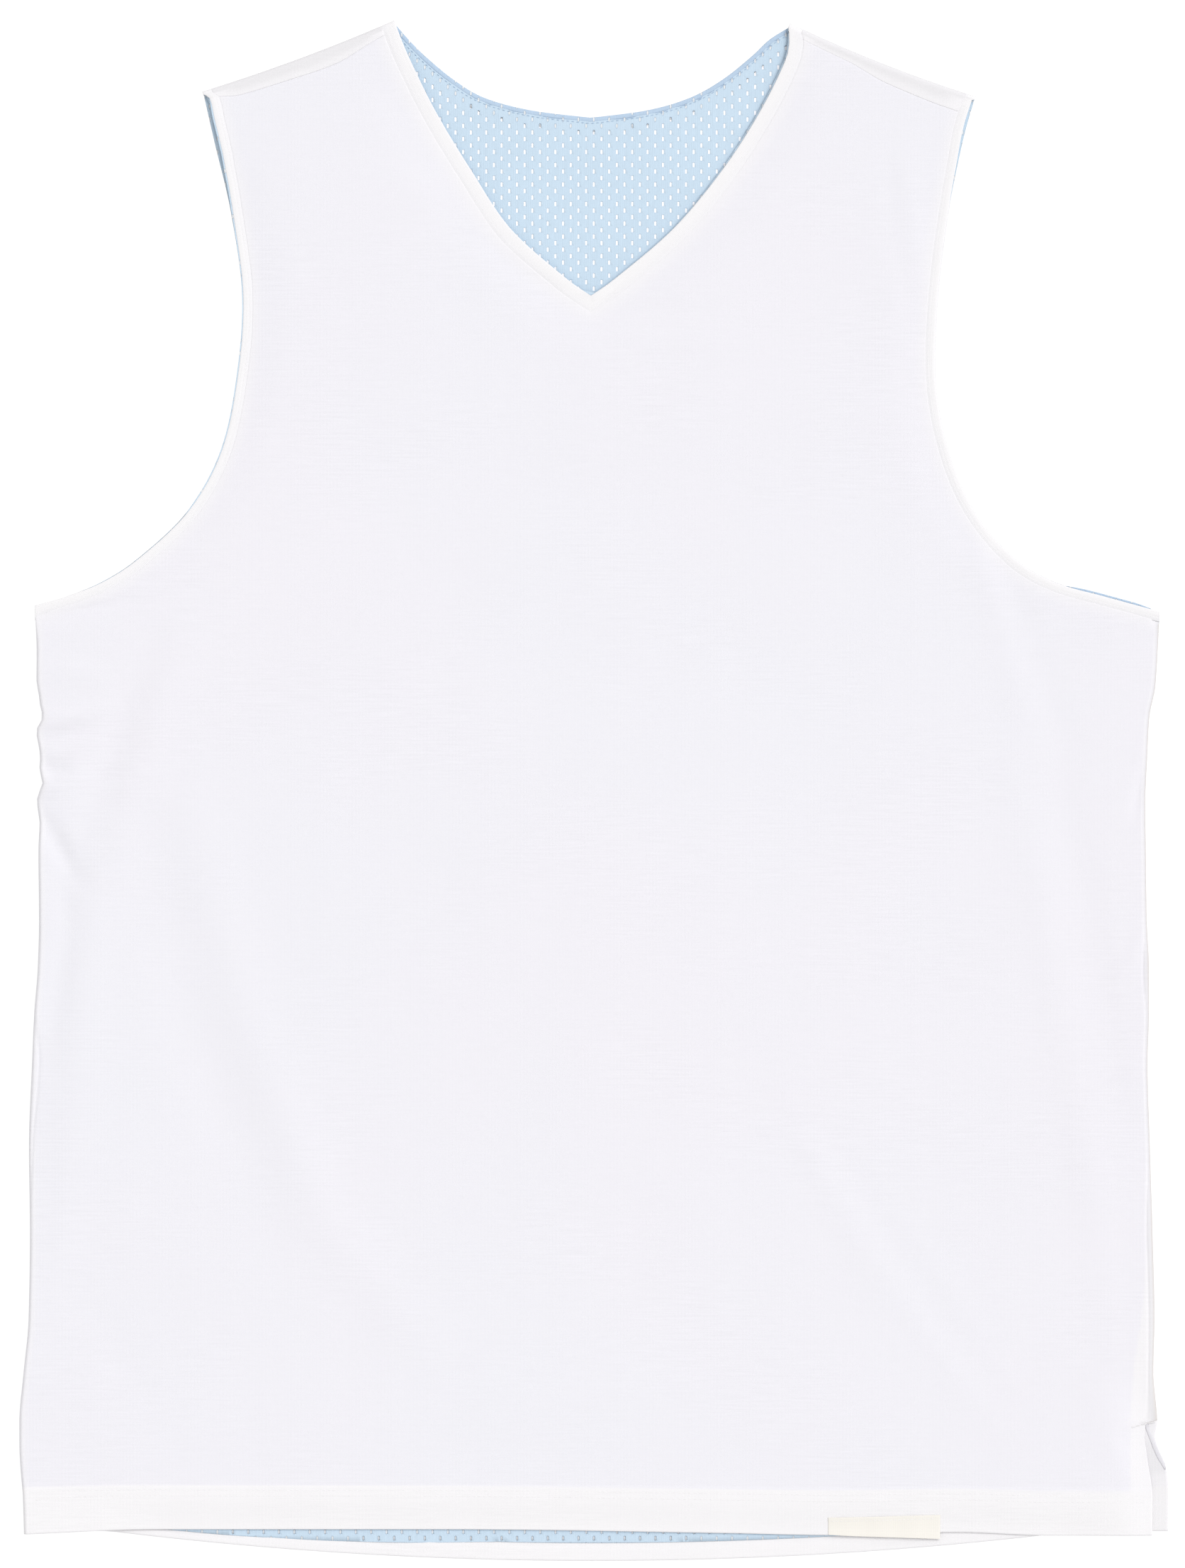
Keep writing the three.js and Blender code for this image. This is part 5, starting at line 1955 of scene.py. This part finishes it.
        return make_strip("vent_fold", (count + 1, len(line)), cell, self.looks.jersey)

    def sew(self, name: str, seams: Sequence[Seam], look: Finish) -> Object:
        """Makes one piece of rows of stitches.

        Args:
            name: name of the piece.
            seams: the rows.
            look: the thread.

        Returns:
            The stitches.
        """
        mesh = bmesh.new()
        count = sum(seam.sew(mesh) for seam in seams)
        log.info("%s: %d stitches", name, count)
        return make_piece(name, mesh, look)


@dataclass(frozen=True)
class Studio:
    """The pale floor, the soft light and the camera, straight above."""

    floor_size: float = 9.0
    camera_height: float = 5.0
    lens: float = 221.0
    world_strength: float = 0.72
    key_strength: float = 1.86
    key_angle: float = 0.7
    key_place: tuple[float, float, float] = (1.1, 0.75, 2.2)
    camera_x: float = -0.0007
    camera_y: float = 0.0035
    sensor_width: float = 36.0
    clip_end: float = 50.0
    floor_grey: float = 0.13
    floor_glow: float = 0.93

    def build(self) -> None:
        """Makes the floor, the light and the camera."""
        mesh = bmesh.new()
        bmesh.ops.create_grid(mesh, x_segments=4, y_segments=4, size=self.floor_size / 2)
        bmesh.ops.translate(mesh, verts=mesh.verts, vec=(0, 0, FLOOR_Z * MM))
        data = bpy.data.meshes.new("floor")
        mesh.to_mesh(data)
        mesh.free()
        put_out("floor", data)
        data.materials.append(self.paint())
        self.light()
        lens = bpy.data.cameras.new("camera")
        lens.type = "PERSP"
        lens.lens = self.lens
        lens.sensor_width = self.sensor_width
        lens.clip_end = self.clip_end
        camera = put_out("camera", lens)
        camera.location = (self.camera_x, self.camera_y, self.camera_height)
        bpy.context.scene.camera = camera

    def paint(self) -> Material:
        """Makes the floor's pale paint, which glows a little so that the floor stays even."""
        paint, bench, shader = start_material("pale paint")
        vector = bench.node("TexCoord").outputs["Object"]
        grain = bench.noise(vector, (60, 60, 60), 3.0)
        bench.dress(shader, Base_Color=bench.shade((self.floor_grey,) * 3, grain, 0.01),
                    Emission_Color=bench.shade((1.0, 1.0, 1.0), grain, 0.002),
                    Emission_Strength=self.floor_glow, Specular_IOR_Level=0.1,
                    Roughness=bench.math("MULTIPLY_ADD", grain, 0.1, 0.9))
        return paint

    def light(self) -> None:
        """Makes an even pale sky and one soft, distant lamp beyond the right shoulder."""
        world = bpy.data.worlds.new("studio")
        world.use_nodes = True
        sky = world.node_tree.nodes["Background"]
        sky.inputs["Color"].default_value = (1.0, 1.0, 1.0, 1.0)
        sky.inputs["Strength"].default_value = self.world_strength
        bpy.context.scene.world = world
        lamp = bpy.data.lights.new("key", "SUN")
        lamp.energy = self.key_strength
        lamp.angle = self.key_angle
        key = put_out("key", lamp)
        place = Vector(self.key_place)
        key.location = place
        key.rotation_euler = place.to_track_quat("Z", "Y").to_euler()
        view = bpy.context.scene.view_settings
        view.view_transform = "Standard"
        view.look = "None"


def main() -> None:
    """Builds the garment's pieces in order and the studio round it."""
    logging.basicConfig(level=logging.INFO, format="%(name)s: %(message)s")
    looks = Looks()
    Studio().build()
    body = BodyPanels(looks)
    linings = Linings(looks)
    bands = Bands(looks)
    trims = Trims(looks)
    made = {
        "back_body": body.back(),
        "back_lining": linings.build(BACK),
        "front_lining": linings.build(FRONT),
        "front_body": body.front(),
        **bands.build(),
        "hem_label": trims.label(),
    }
    for node, piece in made.items():
        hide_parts(node)
    facings = linings.facings()
    fold = trims.vent_fold()
    white_rows = [*bands.seams(), *trims.white_seams(), trims.bar_tack()]
    white = trims.sew("white_stitches", white_rows, looks.thread)
    blue = trims.sew("blue_stitches", [trims.neck_dashes()], looks.blue_thread)


if __name__ == "__main__":
    main()
